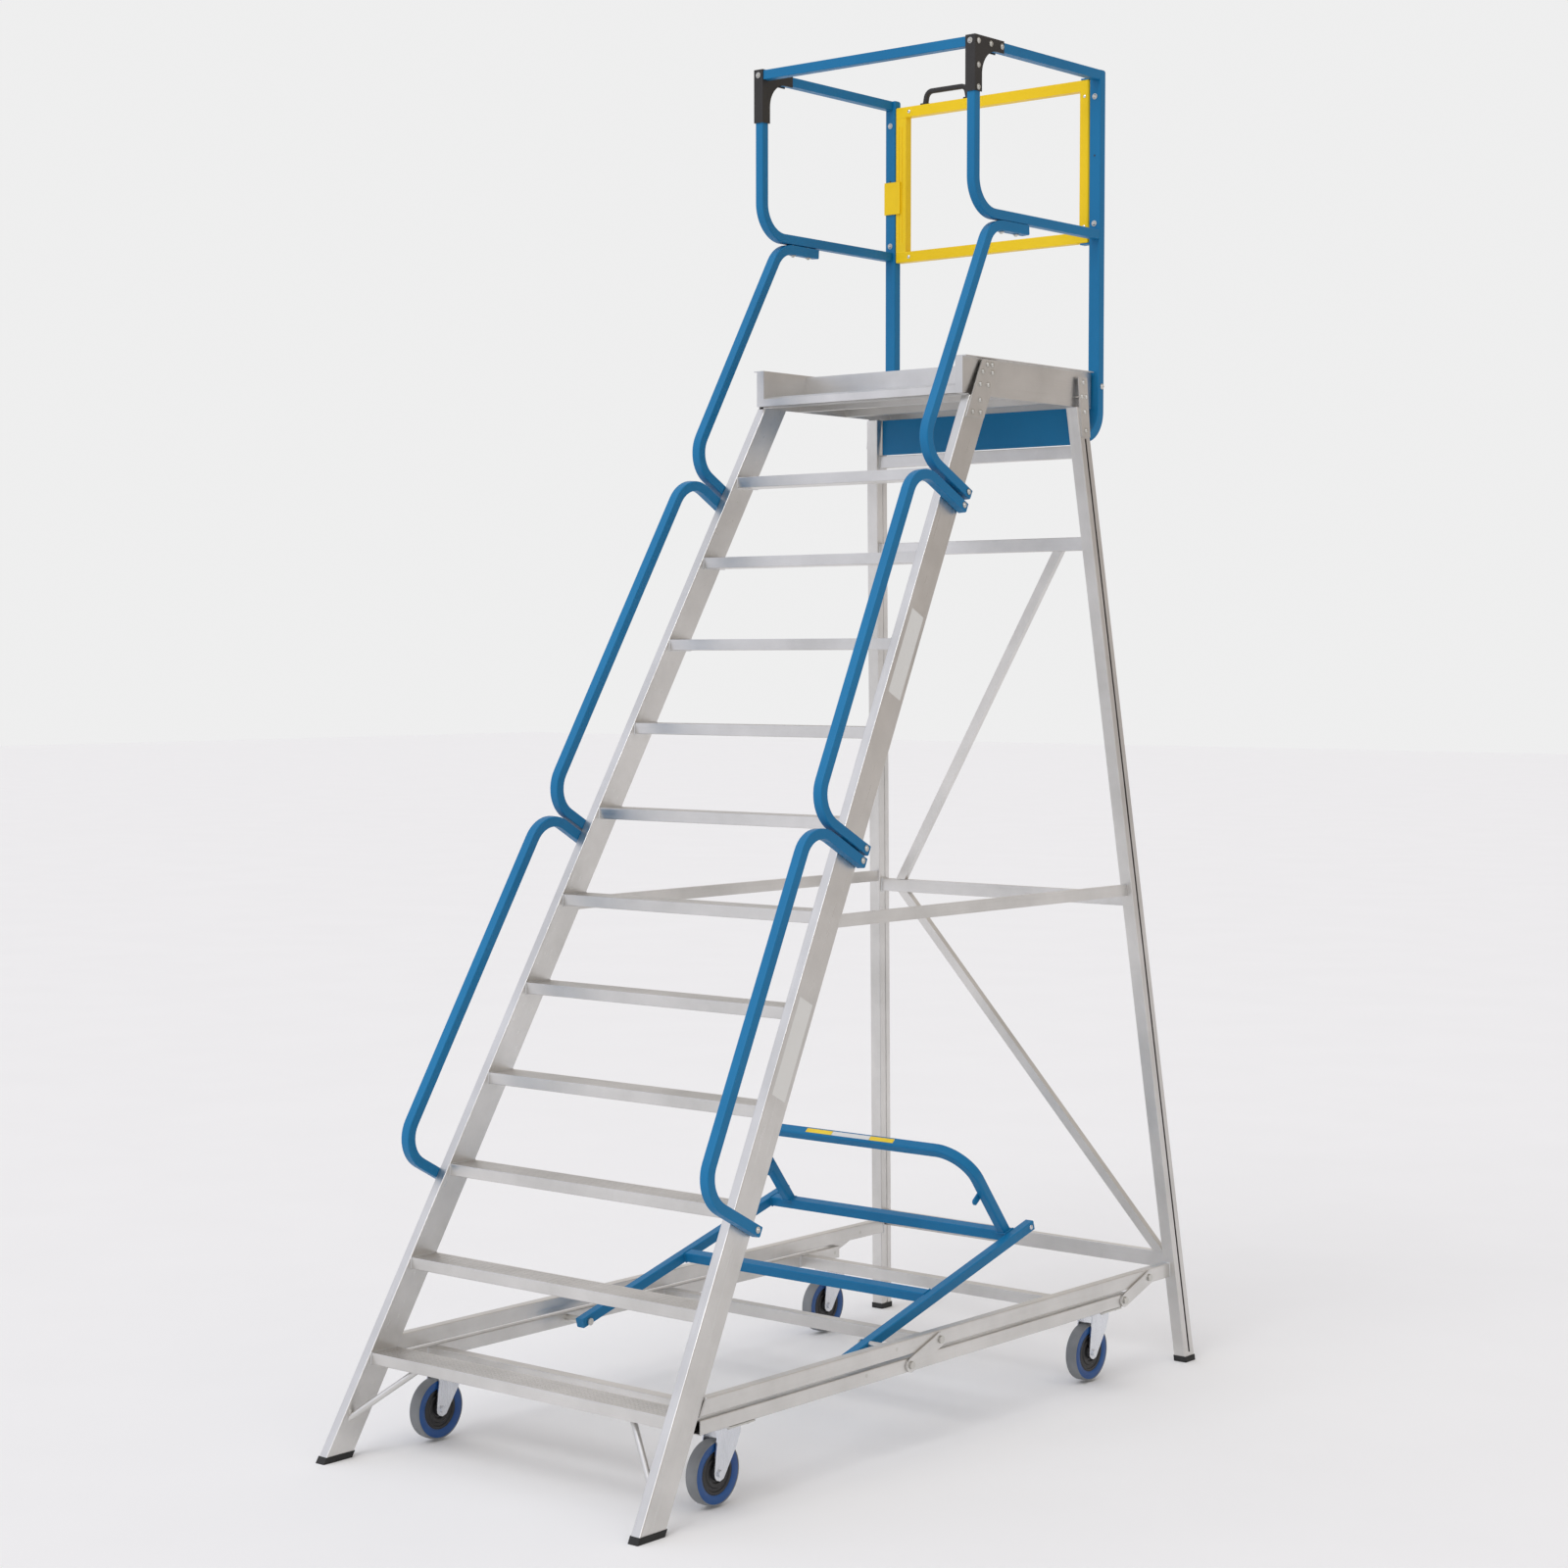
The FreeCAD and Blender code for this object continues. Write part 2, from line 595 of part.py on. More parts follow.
# ---------------------------------------------------------------- castors
def castor_plate(axis_y):
    """Mounting plate, bearing housing and king pin, below the carriage rail."""
    top = CARRIAGE_RAIL_Z[0]
    centre = Vector(WHEEL_X, axis_y, 0)
    plate = box(plate_x, (axis_y - 52.0, axis_y + 52.0), (top - PLATE_T, top))
    housing = cylinder(Vector(centre.x, centre.y, top - PLATE_T - 9.0), Vector(0, 0, 1), 30.0, 9.0)
    pin = cylinder(Vector(centre.x, centre.y, top - PLATE_T - 22.0), Vector(0, 0, 1), KINGPIN_R, 22.0)
    nut = Part.makeCylinder(14.0, 7.0, Vector(centre.x, centre.y, top - PLATE_T - 22.0))
    return drilled(plate.fuse([housing, pin, nut]).removeSplitter(), plate_bolts)


CROWN_TOP = CARRIAGE_RAIL_Z[0] - PLATE_T - 9.0 - 0.6
CROWN_T = 5.0
fork_out = WHEEL_W / 2.0 + FORK_GAP + FORK_T
fork_in = WHEEL_W / 2.0 + FORK_GAP
# Fork cheek outline: (distance behind the axle, drop below the crown)
FORK_OUTLINE = ((-8.0, 0.0), (84.0, 0.0), (82.0, 23.0), (65.0, 59.0), (42.0, 92.0), (20.0, 125.0),
                (14.0, 133.0), (0.0, 138.0), (-14.0, 133.0), (-21.0, 124.0), (-22.0, 115.0),
                (-17.0, 67.0), (-8.5, 16.0))


def castor_fork(axis_y):
    """Pressed fork that swivels on the king pin, with its axle bolt."""
    wheel_y = axis_y - CASTOR_TRAIL
    crown = cylinder(Vector(WHEEL_X, axis_y, CROWN_TOP - CROWN_T), Vector(0, 0, 1), 32.0, CROWN_T)
    crown_z = (CROWN_TOP - CROWN_T, CROWN_TOP)
    profile = [(wheel_y + dy, CROWN_TOP - drop) for dy, drop in FORK_OUTLINE]
    crown = crown.fuse(box((WHEEL_X - fork_out, WHEEL_X + fork_out), (profile[0][0], profile[1][0]), crown_z))
    fork = crown
    for side in (-1, 1):
        fork = fork.fuse(side_plate(profile, WHEEL_X + side * fork_in, WHEEL_X + side * fork_out))
    fork = fork.cut(cylinder(Vector(WHEEL_X, axis_y, CROWN_TOP - 30.0), Vector(0, 0, 1),
                             KINGPIN_R + PIVOT_CLEARANCE, 40.0))
    axle_at = Vector(WHEEL_X - fork_out - 8.0, wheel_y, wheel_z)
    fork = fork.cut(cylinder(axle_at, Vector(1, 0, 0), AXLE_R + 0.02, 2 * fork_out + 16.0))
    return fork.removeSplitter()


def castor_axle(axis_y):
    start = Vector(WHEEL_X - fork_out, axis_y - CASTOR_TRAIL, wheel_z)
    axle = cylinder(start, Vector(1, 0, 0), AXLE_R, 2 * fork_out)
    for seat, way in ((start.x - 6.0, 1), (start.x + 2 * fork_out, 1)):
        head = cylinder(Vector(seat, start.y, start.z), Vector(way, 0, 0), 10.0, 6.0)
        axle = axle.fuse(head)
    return axle.removeSplitter()


def castor_wheel(axis_y):
    """Rim with hub, and the solid tyre pressed round it."""
    wheel_y = axis_y - CASTOR_TRAIL
    centre = Vector(WHEEL_X - WHEEL_W / 2.0, wheel_y, wheel_z)
    along = Vector(1, 0, 0)
    rim = cylinder(centre + along * 3.0, along, RIM_R, WHEEL_W - 6.0)
    rim = rim.fuse(cylinder(centre - along * 3.4, along, HUB_R, WHEEL_W + 6.8))
    for side in (-1, 1):
        face = centre + along * (3.0 if side < 0 else WHEEL_W - 3.0)
        ring = cylinder(face, along * -side, RIM_R - 7.0, 9.0)
        ring = ring.cut(cylinder(face, along * -side, HUB_R + 5.0, 9.0))
        rim = rim.cut(ring)
    bore = cylinder(centre - along * 10.0, along, AXLE_R + PIVOT_CLEARANCE, WHEEL_W + 20.0)
    rim = rim.cut(bore).removeSplitter()
    tyre = cylinder(centre, along, WHEEL_R, WHEEL_W)
    rounded = [e for e in tyre.Edges if isinstance(e.Curve, Part.Circle)]
    tyre = tyre.makeFillet(7.0, rounded)
    tyre = tyre.cut(cylinder(centre - along * 5.0, along, RIM_R, WHEEL_W + 10.0))
    return [rim, tyre]


save("castor_plates", *[side for y in CASTOR_AXIS_Y for side in both_sides(castor_plate(y))])
save("castor_plate_bolts", *[side for bolt in plate_bolts
                             for side in both_sides(fastener_solid(*bolt))])
for axis_y, where in zip(CASTOR_AXIS_Y, ("front", "rear")):
    fork = castor_fork(axis_y)
    axle = castor_axle(axis_y)
    save("castor_fork_%s_right" % where, fork, axle)
    save("castor_fork_%s_left" % where, mirrored(fork), mirrored(axle))
    wheel = castor_wheel(axis_y)
    save("castor_wheel_%s_right" % where, *wheel)
    save("castor_wheel_%s_left" % where, *[mirrored(s) for s in wheel])


# ---------------------------------------------------------------- parallel links
def link_plate(low_y):
    """Outer link between the carriage rail and the fixed rail."""
    x0 = BASE_RAIL_X[1] + PLAY_X
    low = Vector(x0, low_y, PIVOT_LOW_Z)
    high = Vector(x0, low_y + LINK_DY, upper_z)
    along = (high - low).normalize()
    up = Vector(0, -along.z, along.y)
    corners = [low + up * LINK_HALF_H, high + up * LINK_HALF_H,
               high - up * LINK_HALF_H, low - up * LINK_HALF_H]
    plate = Part.Face(Part.makePolygon(corners + corners[:1])).extrude(Vector(LINK_T, 0, 0))
    for pivot in (low, high):
        plate = plate.fuse(cylinder(pivot, Vector(1, 0, 0), LINK_HALF_H, LINK_T))
    for pivot in (low, high):
        plate = plate.cut(x_hole((x0, x0 + LINK_T), pivot.y, pivot.z, PIVOT_R + PIVOT_CLEARANCE))
    return plate.removeSplitter()


for name, low_y in link_pivots.items():
    link = link_plate(low_y)
    save(name + "_link_right", link)
    save(name + "_link_left", mirrored(link))

# ---------------------------------------------------------------- lift lever
ACROSS = Vector(1, 0, 0)
lever_along = Vector(0, 1.0, LEVER_SLOPE).normalize()
lever_up = Vector(0, -lever_along.z, lever_along.y)
lever_origin = Vector(0, LEVER_START[0], LEVER_START[1])
lever_frame = (lever_origin, lever_along, lever_up)


def tilted_point(frame, x, distance, height):
    origin, along, up = frame
    return origin + ACROSS * x + along * distance + up * height


def tilted_block(frame, x, distance, height):
    """Box in a tilted frame given as (origin, along, up)."""
    corners = [tilted_point(frame, x[0], distance[i], height[j]) for i, j in ((0, 0), (1, 0), (1, 1), (0, 1))]
    return Part.Face(Part.makePolygon(corners + corners[:1])).extrude(Vector(x[1] - x[0], 0, 0))


def lever_distance(y):
    return (y - LEVER_START[0]) / lever_along.y


arm_len = lever_distance(LEVER_ARM_END_Y)
half_h = LEVER_ARM_H / 2.0
arm = rounded(tilted_block(lever_frame, LEVER_ARM_X, (-LEVER_FRONT, arm_len), (-half_h, half_h)),
              lever_along, LEVER_EDGE_R)
arm_bore = tilted_block(lever_frame, (LEVER_ARM_X[0] + LEVER_WALL, LEVER_ARM_X[1] - LEVER_WALL),
                        (LEVER_WALL - LEVER_FRONT, arm_len - LEVER_WALL),
                        (LEVER_WALL - half_h, half_h - LEVER_WALL))
arm = arm.cut(arm_bore)
vent_at = tilted_point(lever_frame, sum(LEVER_ARM_X) / 2.0, arm_len / 2.0, -half_h - 1.0)
arm = arm.cut(cylinder(vent_at, lever_up, VENT_R, LEVER_WALL + 2.0))
for y, z in (lower_pivots[0], upper_pivots[0]):
    boss = cylinder(Vector(LEVER_ARM_X[0], y, z), ACROSS, PIVOT_R + 3.5, LEVER_ARM_X[1] - LEVER_ARM_X[0])
    arm = arm.fuse(boss).cut(x_hole(LEVER_ARM_X, y, z, PIVOT_R + PIVOT_CLEARANCE))
lever = arm.fuse(mirrored(arm))
half_t = LEVER_TUBE / 2.0
for cross_y in LEVER_CROSS_Y:
    at = lever_distance(cross_y)
    bar = tilted_block(lever_frame, (-LEVER_ARM_X[0], LEVER_ARM_X[0]), (at - half_t, at + half_t),
                       (-half_t, half_t))
    bar = rounded(bar, ACROSS, LEVER_EDGE_R)
    bore = tilted_block(lever_frame, (-LEVER_ARM_X[0] + 1.0, LEVER_ARM_X[0] - 1.0),
                        (at - half_t + LEVER_WALL, at + half_t - LEVER_WALL),
                        (LEVER_WALL - half_t, half_t - LEVER_WALL))
    vent = cylinder(tilted_point(lever_frame, 0.0, at, -half_t - 1.0), lever_up, VENT_R, LEVER_WALL + 2.0)
    lever = lever.fuse(bar.cut(bore).cut(vent))
save("lever_frame", lever.removeSplitter())

hoop_at = lever_distance(LEVER_CROSS_Y[1])
tilt = math.radians(HOOP_TILT)
hoop_normal = Vector(0, math.cos(tilt), math.sin(tilt))
hoop_frame = (tilted_point(lever_frame, 0.0, hoop_at, 0.0), hoop_normal,
              Vector(0, -math.sin(tilt), math.cos(tilt)))
hoop_points = [tilted_point(hoop_frame, HOOP_X[0], 0.0, 0.0), tilted_point(hoop_frame, HOOP_X[0], 0.0, HOOP_H),
               tilted_point(hoop_frame, HOOP_X[1], 0.0, HOOP_H), tilted_point(hoop_frame, HOOP_X[1], 0.0, 0.0)]
hoop = square_tube(hoop_points, [HOOP_BEND_R] * 2, hoop_normal, HOOP_TUBE, LEVER_WALL, corner=HOOP_CORNER_R)
hoop = hoop.cut(tilted_block(lever_frame, (-600.0, 600.0), (hoop_at - 60.0, hoop_at + 60.0),
                             (-60.0, half_t + 0.1)))
half_hoop = HOOP_TUBE / 2.0
for leg_x, inward in ((HOOP_X[0], 1), (HOOP_X[1], -1)):
    face = leg_x + inward * half_hoop
    tab_x = sorted((face - inward * 1.0, face + inward * 5.0))
    tab = tilted_block(hoop_frame, tab_x, (-half_hoop - 28.0, half_hoop - 8.0),
                       (HOOP_TAB_H - 10.0, HOOP_TAB_H + 10.0))
    hoop = hoop.fuse(rounded(tab, ACROSS, 9.0))
save("lever_hoop", hoop.removeSplitter())

# ---------------------------------------------------------------- rear bracing
CROSS_T = 25.0
cross_levels = ((300.0, 350.0), (1462.0, 1504.0), (2576.0, 2618.0), (2861.0, 2900.0))


def leg_gap(z):
    return leg_outer(z) - LEG_W


crossbars = []
for z0, z1 in cross_levels:
    front = leg_front(z0) + 10.0
    bar = straight_tube((-620.0, 620.0), (front, front + CROSS_T), (z0, z1), 2.5, 0)
    for side in (-1, 1):
        x0 = leg_gap(z0 - 10.0) - 0.1
        cut = slab((x0, x0 + 400.0), (front - 50.0, front + 80.0), z0 - 10.0, (-LEG_FLARE, 0), z1 - z0 + 20.0)
        bar = bar.cut(cut if side > 0 else mirrored(cut))
    crossbars.append(bar)
save("rear_crossbars", *[drilled(bar) for bar in crossbars])


def diagonal(low, high, half, thickness):
    """Flat bar between two (x, z) points, behind the plane of the leg fronts."""
    a = Vector(low[0], leg_front(low[1]) + 12.0, low[1])
    b = Vector(high[0], leg_front(high[1]) + 12.0, high[1])
    along = (b - a).normalize()
    normal = Vector(0, 1.0, LEG_SLOPE).normalize()
    side = along.cross(normal).normalize()
    corners = [a + side * half, b + side * half, b - side * half, a - side * half]
    bar = Part.Face(Part.makePolygon(corners + corners[:1])).extrude(normal * thickness)
    hole = [a + side * (half - 2.0) - along * 5.0, b + side * (half - 2.0) + along * 5.0,
            b - side * (half - 2.0) + along * 5.0, a - side * (half - 2.0) - along * 5.0]
    bore = Part.Face(Part.makePolygon(hole + hole[:1])).extrude(normal * (thickness - 4.0))
    bore.translate(normal * 2.0)
    return bar.cut(bore)


def trimmed_diagonal(low, high, z_limits):
    """Diagonal cut level where it lands on the crossbars."""
    bar = diagonal(low, high, 15.0, 20.0)
    return bar.common(box((-900.0, 900.0), (800.0, 1400.0), z_limits))


upper_diagonal = trimmed_diagonal((-418.0, 1480.0), (318.0, 2600.0),
                                  (cross_levels[1][1] + 0.1, cross_levels[2][0] - 0.1))
lower_diagonal = trimmed_diagonal((560.0, 330.0), (-415.0, 1485.0),
                                  (cross_levels[0][1] + 0.1, cross_levels[1][0] - 0.1))
leg_zone = slab((-leg_gap(0.0) - 200.0, -leg_gap(0.0) + 0.1), (800.0, 1500.0), 0.0, (LEG_FLARE, 0), 3000.0)
upper_diagonal = upper_diagonal.cut(leg_zone)
lower_diagonal = lower_diagonal.cut(leg_zone).cut(mirrored(leg_zone))
save("rear_diagonals", upper_diagonal, lower_diagonal)


def side_brace():
    """Level brace between the stile and the rear leg at mid height."""
    z0, z1 = BRACE_Z
    rear = leg_front((z0 + z1) / 2.0)
    front = stile_front((z0 + z1) / 2.0) + STILE_D
    x_front = stile_outer(z0) - 22.0
    x_rear = leg_outer(z0) - 28.0
    corners = [Vector(x_front - 9.0, front - 60.0, z0), Vector(x_front + 9.0, front - 60.0, z0),
               Vector(x_rear + 9.0, rear + 40.0, z0), Vector(x_rear - 9.0, rear + 40.0, z0)]
    bar = Part.Face(Part.makePolygon(corners + corners[:1])).extrude(Vector(0, 0, z1 - z0))
    inset = [Vector(c.x + (2.0 if i in (0, 3) else -2.0), c.y, z0 + 2.0) for i, c in enumerate(corners)]
    bore = Part.Face(Part.makePolygon(inset + inset[:1])).extrude(Vector(0, 0, z1 - z0 - 4.0))
    bar = bar.cut(bore)
    low = z0 - 10.0
    height = z1 - z0 + 20.0
    stile_zone = slab((300.0, 700.0), (-900.0, stile_front(low) + STILE_D + 0.1), low,
                      (0.0, STILE_SLOPE), height)
    rear_zone = slab((300.0, 700.0), (leg_front(low) - 0.1, 1500.0), low, (0.0, -LEG_SLOPE), height)
    return bar.cut(stile_zone).cut(rear_zone)


save("side_braces", *both_sides(side_brace()))


def foot_strut():
    """Knee brace from the stile up to the underside of the lowest step."""
    top_z = STEP_FIRST_Z - STEP_H
    a = Vector(stile_outer(118.0) - STILE_W, stile_front(118.0) + 30.0, 118.0)
    b = Vector(405.0, stile_front(STEP_FIRST_Z) + 42.0, top_z)
    along = (b - a).normalize()
    strut = cylinder(a - along * 40.0, along, 9.0, (b - a).Length + 80.0)
    strut = strut.cut(cylinder(a - along * 60.0, along, 7.0, (b - a).Length + 120.0))
    keep = slab((-600.0, stile_outer(0.0) - STILE_W - 0.1), (-1400.0, -900.0), 0.0, (-STILE_FLARE, 0.0),
                top_z - 0.1)
    return strut.common(keep)


save("foot_struts", *both_sides(foot_strut()))

# ---------------------------------------------------------------- platform
sheet_z = (DECK_Z - 3.0 - DECK_SHEET, DECK_Z - 3.0)
deck = box((-DECK_HALF_W, DECK_HALF_W), (DECK_FRONT_Y, DECK_REAR_Y), (DECK_FLANGE_Z, sheet_z[1]))
deck = deck.cut(box((-DECK_HALF_W + 4.0, DECK_HALF_W - 4.0), (DECK_FRONT_Y + 4.0, DECK_REAR_Y - 4.0),
                    (DECK_FLANGE_Z - 1.0, sheet_z[0])))
for rib_y in (TOE_CROSS_Y - 6.0, 790.0):
    deck = deck.fuse(box((-DECK_HALF_W + 4.0, DECK_HALF_W - 4.0), (rib_y, rib_y + 12.0),
                         (DECK_FLANGE_Z, sheet_z[0])))
tread_rib = 18.0
rib_x = -TOE_IN_X + 14.0
while rib_x < TOE_IN_X - 14.0:
    deck = deck.fuse(box((rib_x, rib_x + 6.0), (DECK_FRONT_Y + 12.0, TOE_CROSS_Y - 12.0),
                         (sheet_z[1] - 1.0, DECK_Z)))
    deck = deck.fuse(box((rib_x, rib_x + 6.0), (TOE_CROSS_Y + 18.0, DECK_REAR_Y - 14.0),
                         (sheet_z[1] - 1.0, DECK_Z)))
    rib_x += tread_rib
save("platform_deck", drilled(deck.removeSplitter()))

nosing = side_plate([(DECK_FRONT_Y - 0.1, DECK_Z), (NOSING_FRONT_Y + 6.0, DECK_Z),
                     (NOSING_FRONT_Y, DECK_Z - 6.0), (NOSING_FRONT_Y, DECK_Z - NOSING_H),
                     (NOSING_FRONT_Y + 4.0, DECK_Z - NOSING_H), (NOSING_FRONT_Y + 4.0, DECK_Z - 9.0),
                     (DECK_FRONT_Y - 4.0, DECK_Z - 9.0), (DECK_FRONT_Y - 4.0, DECK_Z - NOSING_H),
                     (DECK_FRONT_Y - 0.1, DECK_Z - NOSING_H)], -TOE_IN_X, TOE_IN_X)
save("platform_nosing", nosing)


def toe_board():
    """Side toe board: hollow upright profile with an outward lip along its top edge."""
    y = (NOSING_FRONT_Y, DECK_REAR_Y)
    x = (TOE_IN_X + 0.1, TOE_IN_X + TOE_W)
    z = (sheet_z[1] + 0.1, TOE_TOP_Z)
    board = box(x, y, z)
    board = board.cut(box((x[0] + TOE_WALL, x[1] - TOE_WALL), (y[0] + TOE_WALL, y[1] + 5.0),
                          (z[0] + TOE_WALL, z[1] - TOE_WALL)))
    lip = box((x[1] - 1.0, x[1] + TOE_FLANGE), y, (TOE_TOP_Z - TOE_WALL, TOE_TOP_Z))
    front_end = box(x, (y[0], DECK_FRONT_Y - 0.3), (TOE_END_LOW_Z, z[0] + 1.0))
    return board.fuse([lip, front_end]).removeSplitter()


plate_right = stile_plate()
leg_plate_right = leg_plate()
board_right = toe_board()
save("toe_board_right", drilled(board_right))
save("toe_board_left", drilled(mirrored(board_right)))
save("toe_board_cross", box((-TOE_IN_X, TOE_IN_X), (TOE_CROSS_Y, TOE_CROSS_Y + 4.0),
                            (sheet_z[1] + 0.1, TOE_TOP_Z - 6.0)))
save("joint_plates", *[drilled(p) for p in both_sides(plate_right) + both_sides(leg_plate_right)])

panel_z = (2903.0, 3016.0)
panel_x = leg_gap(panel_z[1]) - 1.0
panel_y = leg_front(panel_z[1]) + 30.0
save("rear_panel", box((-panel_x, panel_x), (panel_y, panel_y + 3.0), panel_z))

# ---------------------------------------------------------------- guard rails
BRACKET_T = 3.0
bracket_down = 163.0
bracket_back = 147.0
guard_half = GUARD_TUBE / 2.0
post_y = (GUARD_POST_Y - POST_D / 2.0, GUARD_POST_Y + POST_D / 2.0)
post_top = GUARD_TOP_Z + guard_half


def guard_post():
    """Rear post, bent forward at its foot into the leg, with the top rail welded to its head."""
    x = (POST_X[0] + POST_X[1]) / 2.0
    points = [Vector(x, POST_FOOT_Y, POST_FOOT_Z), Vector(x, GUARD_POST_Y, POST_FOOT_Z),
              Vector(x, GUARD_POST_Y, post_top)]
    normal = Vector(1, 0, 0)
    width = POST_X[1] - POST_X[0]
    post = swept(points, [POST_FOOT_R], normal, (POST_D, width), CORNER_R)
    head = box((POST_X[0] - 1.0, POST_X[1] + 1.0), (post_y[1] - POST_HEAD_R, post_y[1] + 1.0),
               (post_top - POST_HEAD_R, post_top + 1.0))
    head = head.cut(cylinder(Vector(POST_X[0] - 2.0, post_y[1] - POST_HEAD_R, post_top - POST_HEAD_R), normal,
                             POST_HEAD_R, width + 4.0))
    post = post.cut(head)
    rail_x = (GUARD_X - guard_half, GUARD_X + guard_half)
    rail_z = (GUARD_TOP_Z - guard_half, post_top)
    rail_y = (GUARD_FRONT_Y + guard_half + 0.3, post_y[0] + 1.0)
    post = post.fuse(rounded(box(rail_x, rail_y, rail_z), Vector(0, 1, 0), 2.0))
    bore_points = points[:2] + [Vector(x, GUARD_POST_Y, GUARD_TOP_Z + 4.0)]
    post = post.cut(swept(bore_points, [POST_FOOT_R], normal, (POST_D - 2 * GUARD_WALL, width - 2 * GUARD_WALL), 1.5))
    post = post.cut(box((rail_x[0] + GUARD_WALL, rail_x[1] - GUARD_WALL), (rail_y[0] - 1.0, post_y[0] - 0.5),
                        (rail_z[0] + GUARD_WALL, rail_z[1] - GUARD_WALL)))
    low = POST_FOOT_Z - 60.0
    leg_zone = slab((300.0, 700.0), (leg_front(low) - 200.0, leg_front(low) + LEG_D + 0.1), low,
                    (0.0, -LEG_SLOPE), 200.0)
    return post.cut(leg_zone).removeSplitter()


def guard_side(x):
    """Front upright, bent backward at its foot into the lower side rail."""
    points = [Vector(x, GUARD_FRONT_Y, GUARD_TOP_Z + guard_half - 2.0), Vector(x, GUARD_FRONT_Y, GUARD_LOW_Z),
              Vector(x, post_y[0] - 0.3, GUARD_LOW_Z)]
    return square_tube(points, [GUARD_BEND_R], Vector(1, 0, 0), GUARD_TUBE, GUARD_WALL)


outer = GUARD_X + guard_half
for z_bolt in (3981.0, 3591.0):
    mirrored_fastener(((POST_X[0] + POST_X[1]) / 2.0, post_y[0], z_bolt), (0, -1, 0), 14.0)
mirrored_fastener((POST_X[1], GUARD_POST_Y + 3.0, 3087.0), (1, 0, 0), 18.0)
bracket_seat = outer + BRACKET_T
for y_bolt, z_bolt in ((GUARD_FRONT_Y, GUARD_TOP_Z), (GUARD_FRONT_Y + 62.0, GUARD_TOP_Z),
                       (GUARD_FRONT_Y + 118.0, GUARD_TOP_Z), (GUARD_FRONT_Y, GUARD_TOP_Z - 70.0),
                       (GUARD_FRONT_Y, GUARD_TOP_Z - 134.0)):
    mirrored_fastener((bracket_seat, y_bolt, z_bolt), (1, 0, 0), 14.0)
mirrored_fastener((GUARD_X, GUARD_FRONT_Y - guard_half - BRACKET_T, GUARD_TOP_Z), (0, -1, 0), 12.0)


def bracket_cheek(x0, x1):
    """Side plate of the moulded corner, with a curved gusset inside the corner."""
    z_top = GUARD_TOP_Z + guard_half + BRACKET_T
    y_front = GUARD_FRONT_Y - guard_half - BRACKET_T
    y_inner = GUARD_FRONT_Y + guard_half + 4.0
    z_inner = GUARD_TOP_Z - guard_half - 4.0
    radius = 76.0
    cheek = side_plate([(y_front, z_top), (y_front + bracket_back, z_top), (y_front + bracket_back, z_inner),
                        (y_inner + radius, z_inner), (y_inner, z_inner - radius),
                        (y_inner, z_top - bracket_down), (y_front, z_top - bracket_down)], x0, x1)
    gusset = side_plate([(y_inner + radius + 1.0, z_inner + 1.0), (y_inner - 1.0, z_inner + 1.0),
                         (y_inner - 1.0, z_inner - radius - 1.0)], x0, x1)
    arc = cylinder(Vector(x0 - 1.0, y_inner + radius, z_inner - radius), Vector(1, 0, 0), radius, x1 - x0 + 2.0)
    return cheek.fuse(gusset).cut(arc)


def corner_bracket():
    """Moulded corner clasping the side rails: two cheeks, a front face and a cap on top."""
    z_top = GUARD_TOP_Z + guard_half + BRACKET_T
    y_front = GUARD_FRONT_Y - guard_half - BRACKET_T
    inner = GUARD_X - guard_half
    wide = (inner - BRACKET_T, outer + BRACKET_T)
    front = box(wide, (y_front, y_front + BRACKET_T), (z_top - bracket_down, z_top))
    cap = box(wide, (y_front, y_front + bracket_back), (z_top - BRACKET_T, z_top))
    cheeks = [bracket_cheek(outer, outer + BRACKET_T), bracket_cheek(inner - BRACKET_T, inner)]
    return front.fuse([cap] + cheeks).removeSplitter()


bracket_right = corner_bracket()
save("corner_brackets", *[drilled(b) for b in both_sides(bracket_right)])
post_right = guard_post()
save("guard_post_right", drilled(post_right))
save("guard_post_left", drilled(mirrored(post_right)))
side_right = guard_side(GUARD_X)
save("guard_side_right", drilled(side_right))
save("guard_side_left", drilled(mirrored(side_right)))
bar_reach = GUARD_X - guard_half - BRACKET_T - 0.5
front_bar = straight_tube((-bar_reach, bar_reach),
                          (GUARD_FRONT_Y - guard_half, GUARD_FRONT_Y + guard_half),
                          (GUARD_TOP_Z - guard_half, GUARD_TOP_Z + guard_half), GUARD_WALL, 0)
save("guard_front_bar", front_bar)

# ---------------------------------------------------------------- handrails
right_rails = [lower_handrail(*span) for span in RAIL_SPANS] + [upper_rail_right]
save("handrails_right", *[drilled(rail) for rail in right_rails])
save("handrails_left", *[drilled(mirrored(rail)) for rail in right_rails])

# ---------------------------------------------------------------- gate
gate_y = (GUARD_POST_Y - GATE_DEPTH / 2.0, GUARD_POST_Y + GATE_DEPTH / 2.0)
window_x = (GATE_X[0] + GATE_LATCH_W, GATE_X[1] - GATE_TUBE)
window_z = (GATE_Z[0] + GATE_TUBE, GATE_Z[1] - GATE_TUBE)
gate = rounded(box(GATE_X, gate_y, GATE_Z), Vector(0, 1, 0), 4.0)
gate = gate.common(rounded(box((GATE_X[0] - 50.0, GATE_X[1]), gate_y, GATE_Z), Vector(0, 0, 1), GATE_HINGE_R))
through_y = (gate_y[0] - 1.0, gate_y[1] + 1.0)
gate = gate.cut(box(window_x, through_y, window_z))
cavity = box((GATE_X[0] + GATE_WALL, GATE_X[1] - GATE_HINGE_WALL), (gate_y[0] + GATE_WALL, gate_y[1] - GATE_WALL),
             (GATE_Z[0] + GATE_WALL, GATE_Z[1] - GATE_WALL))
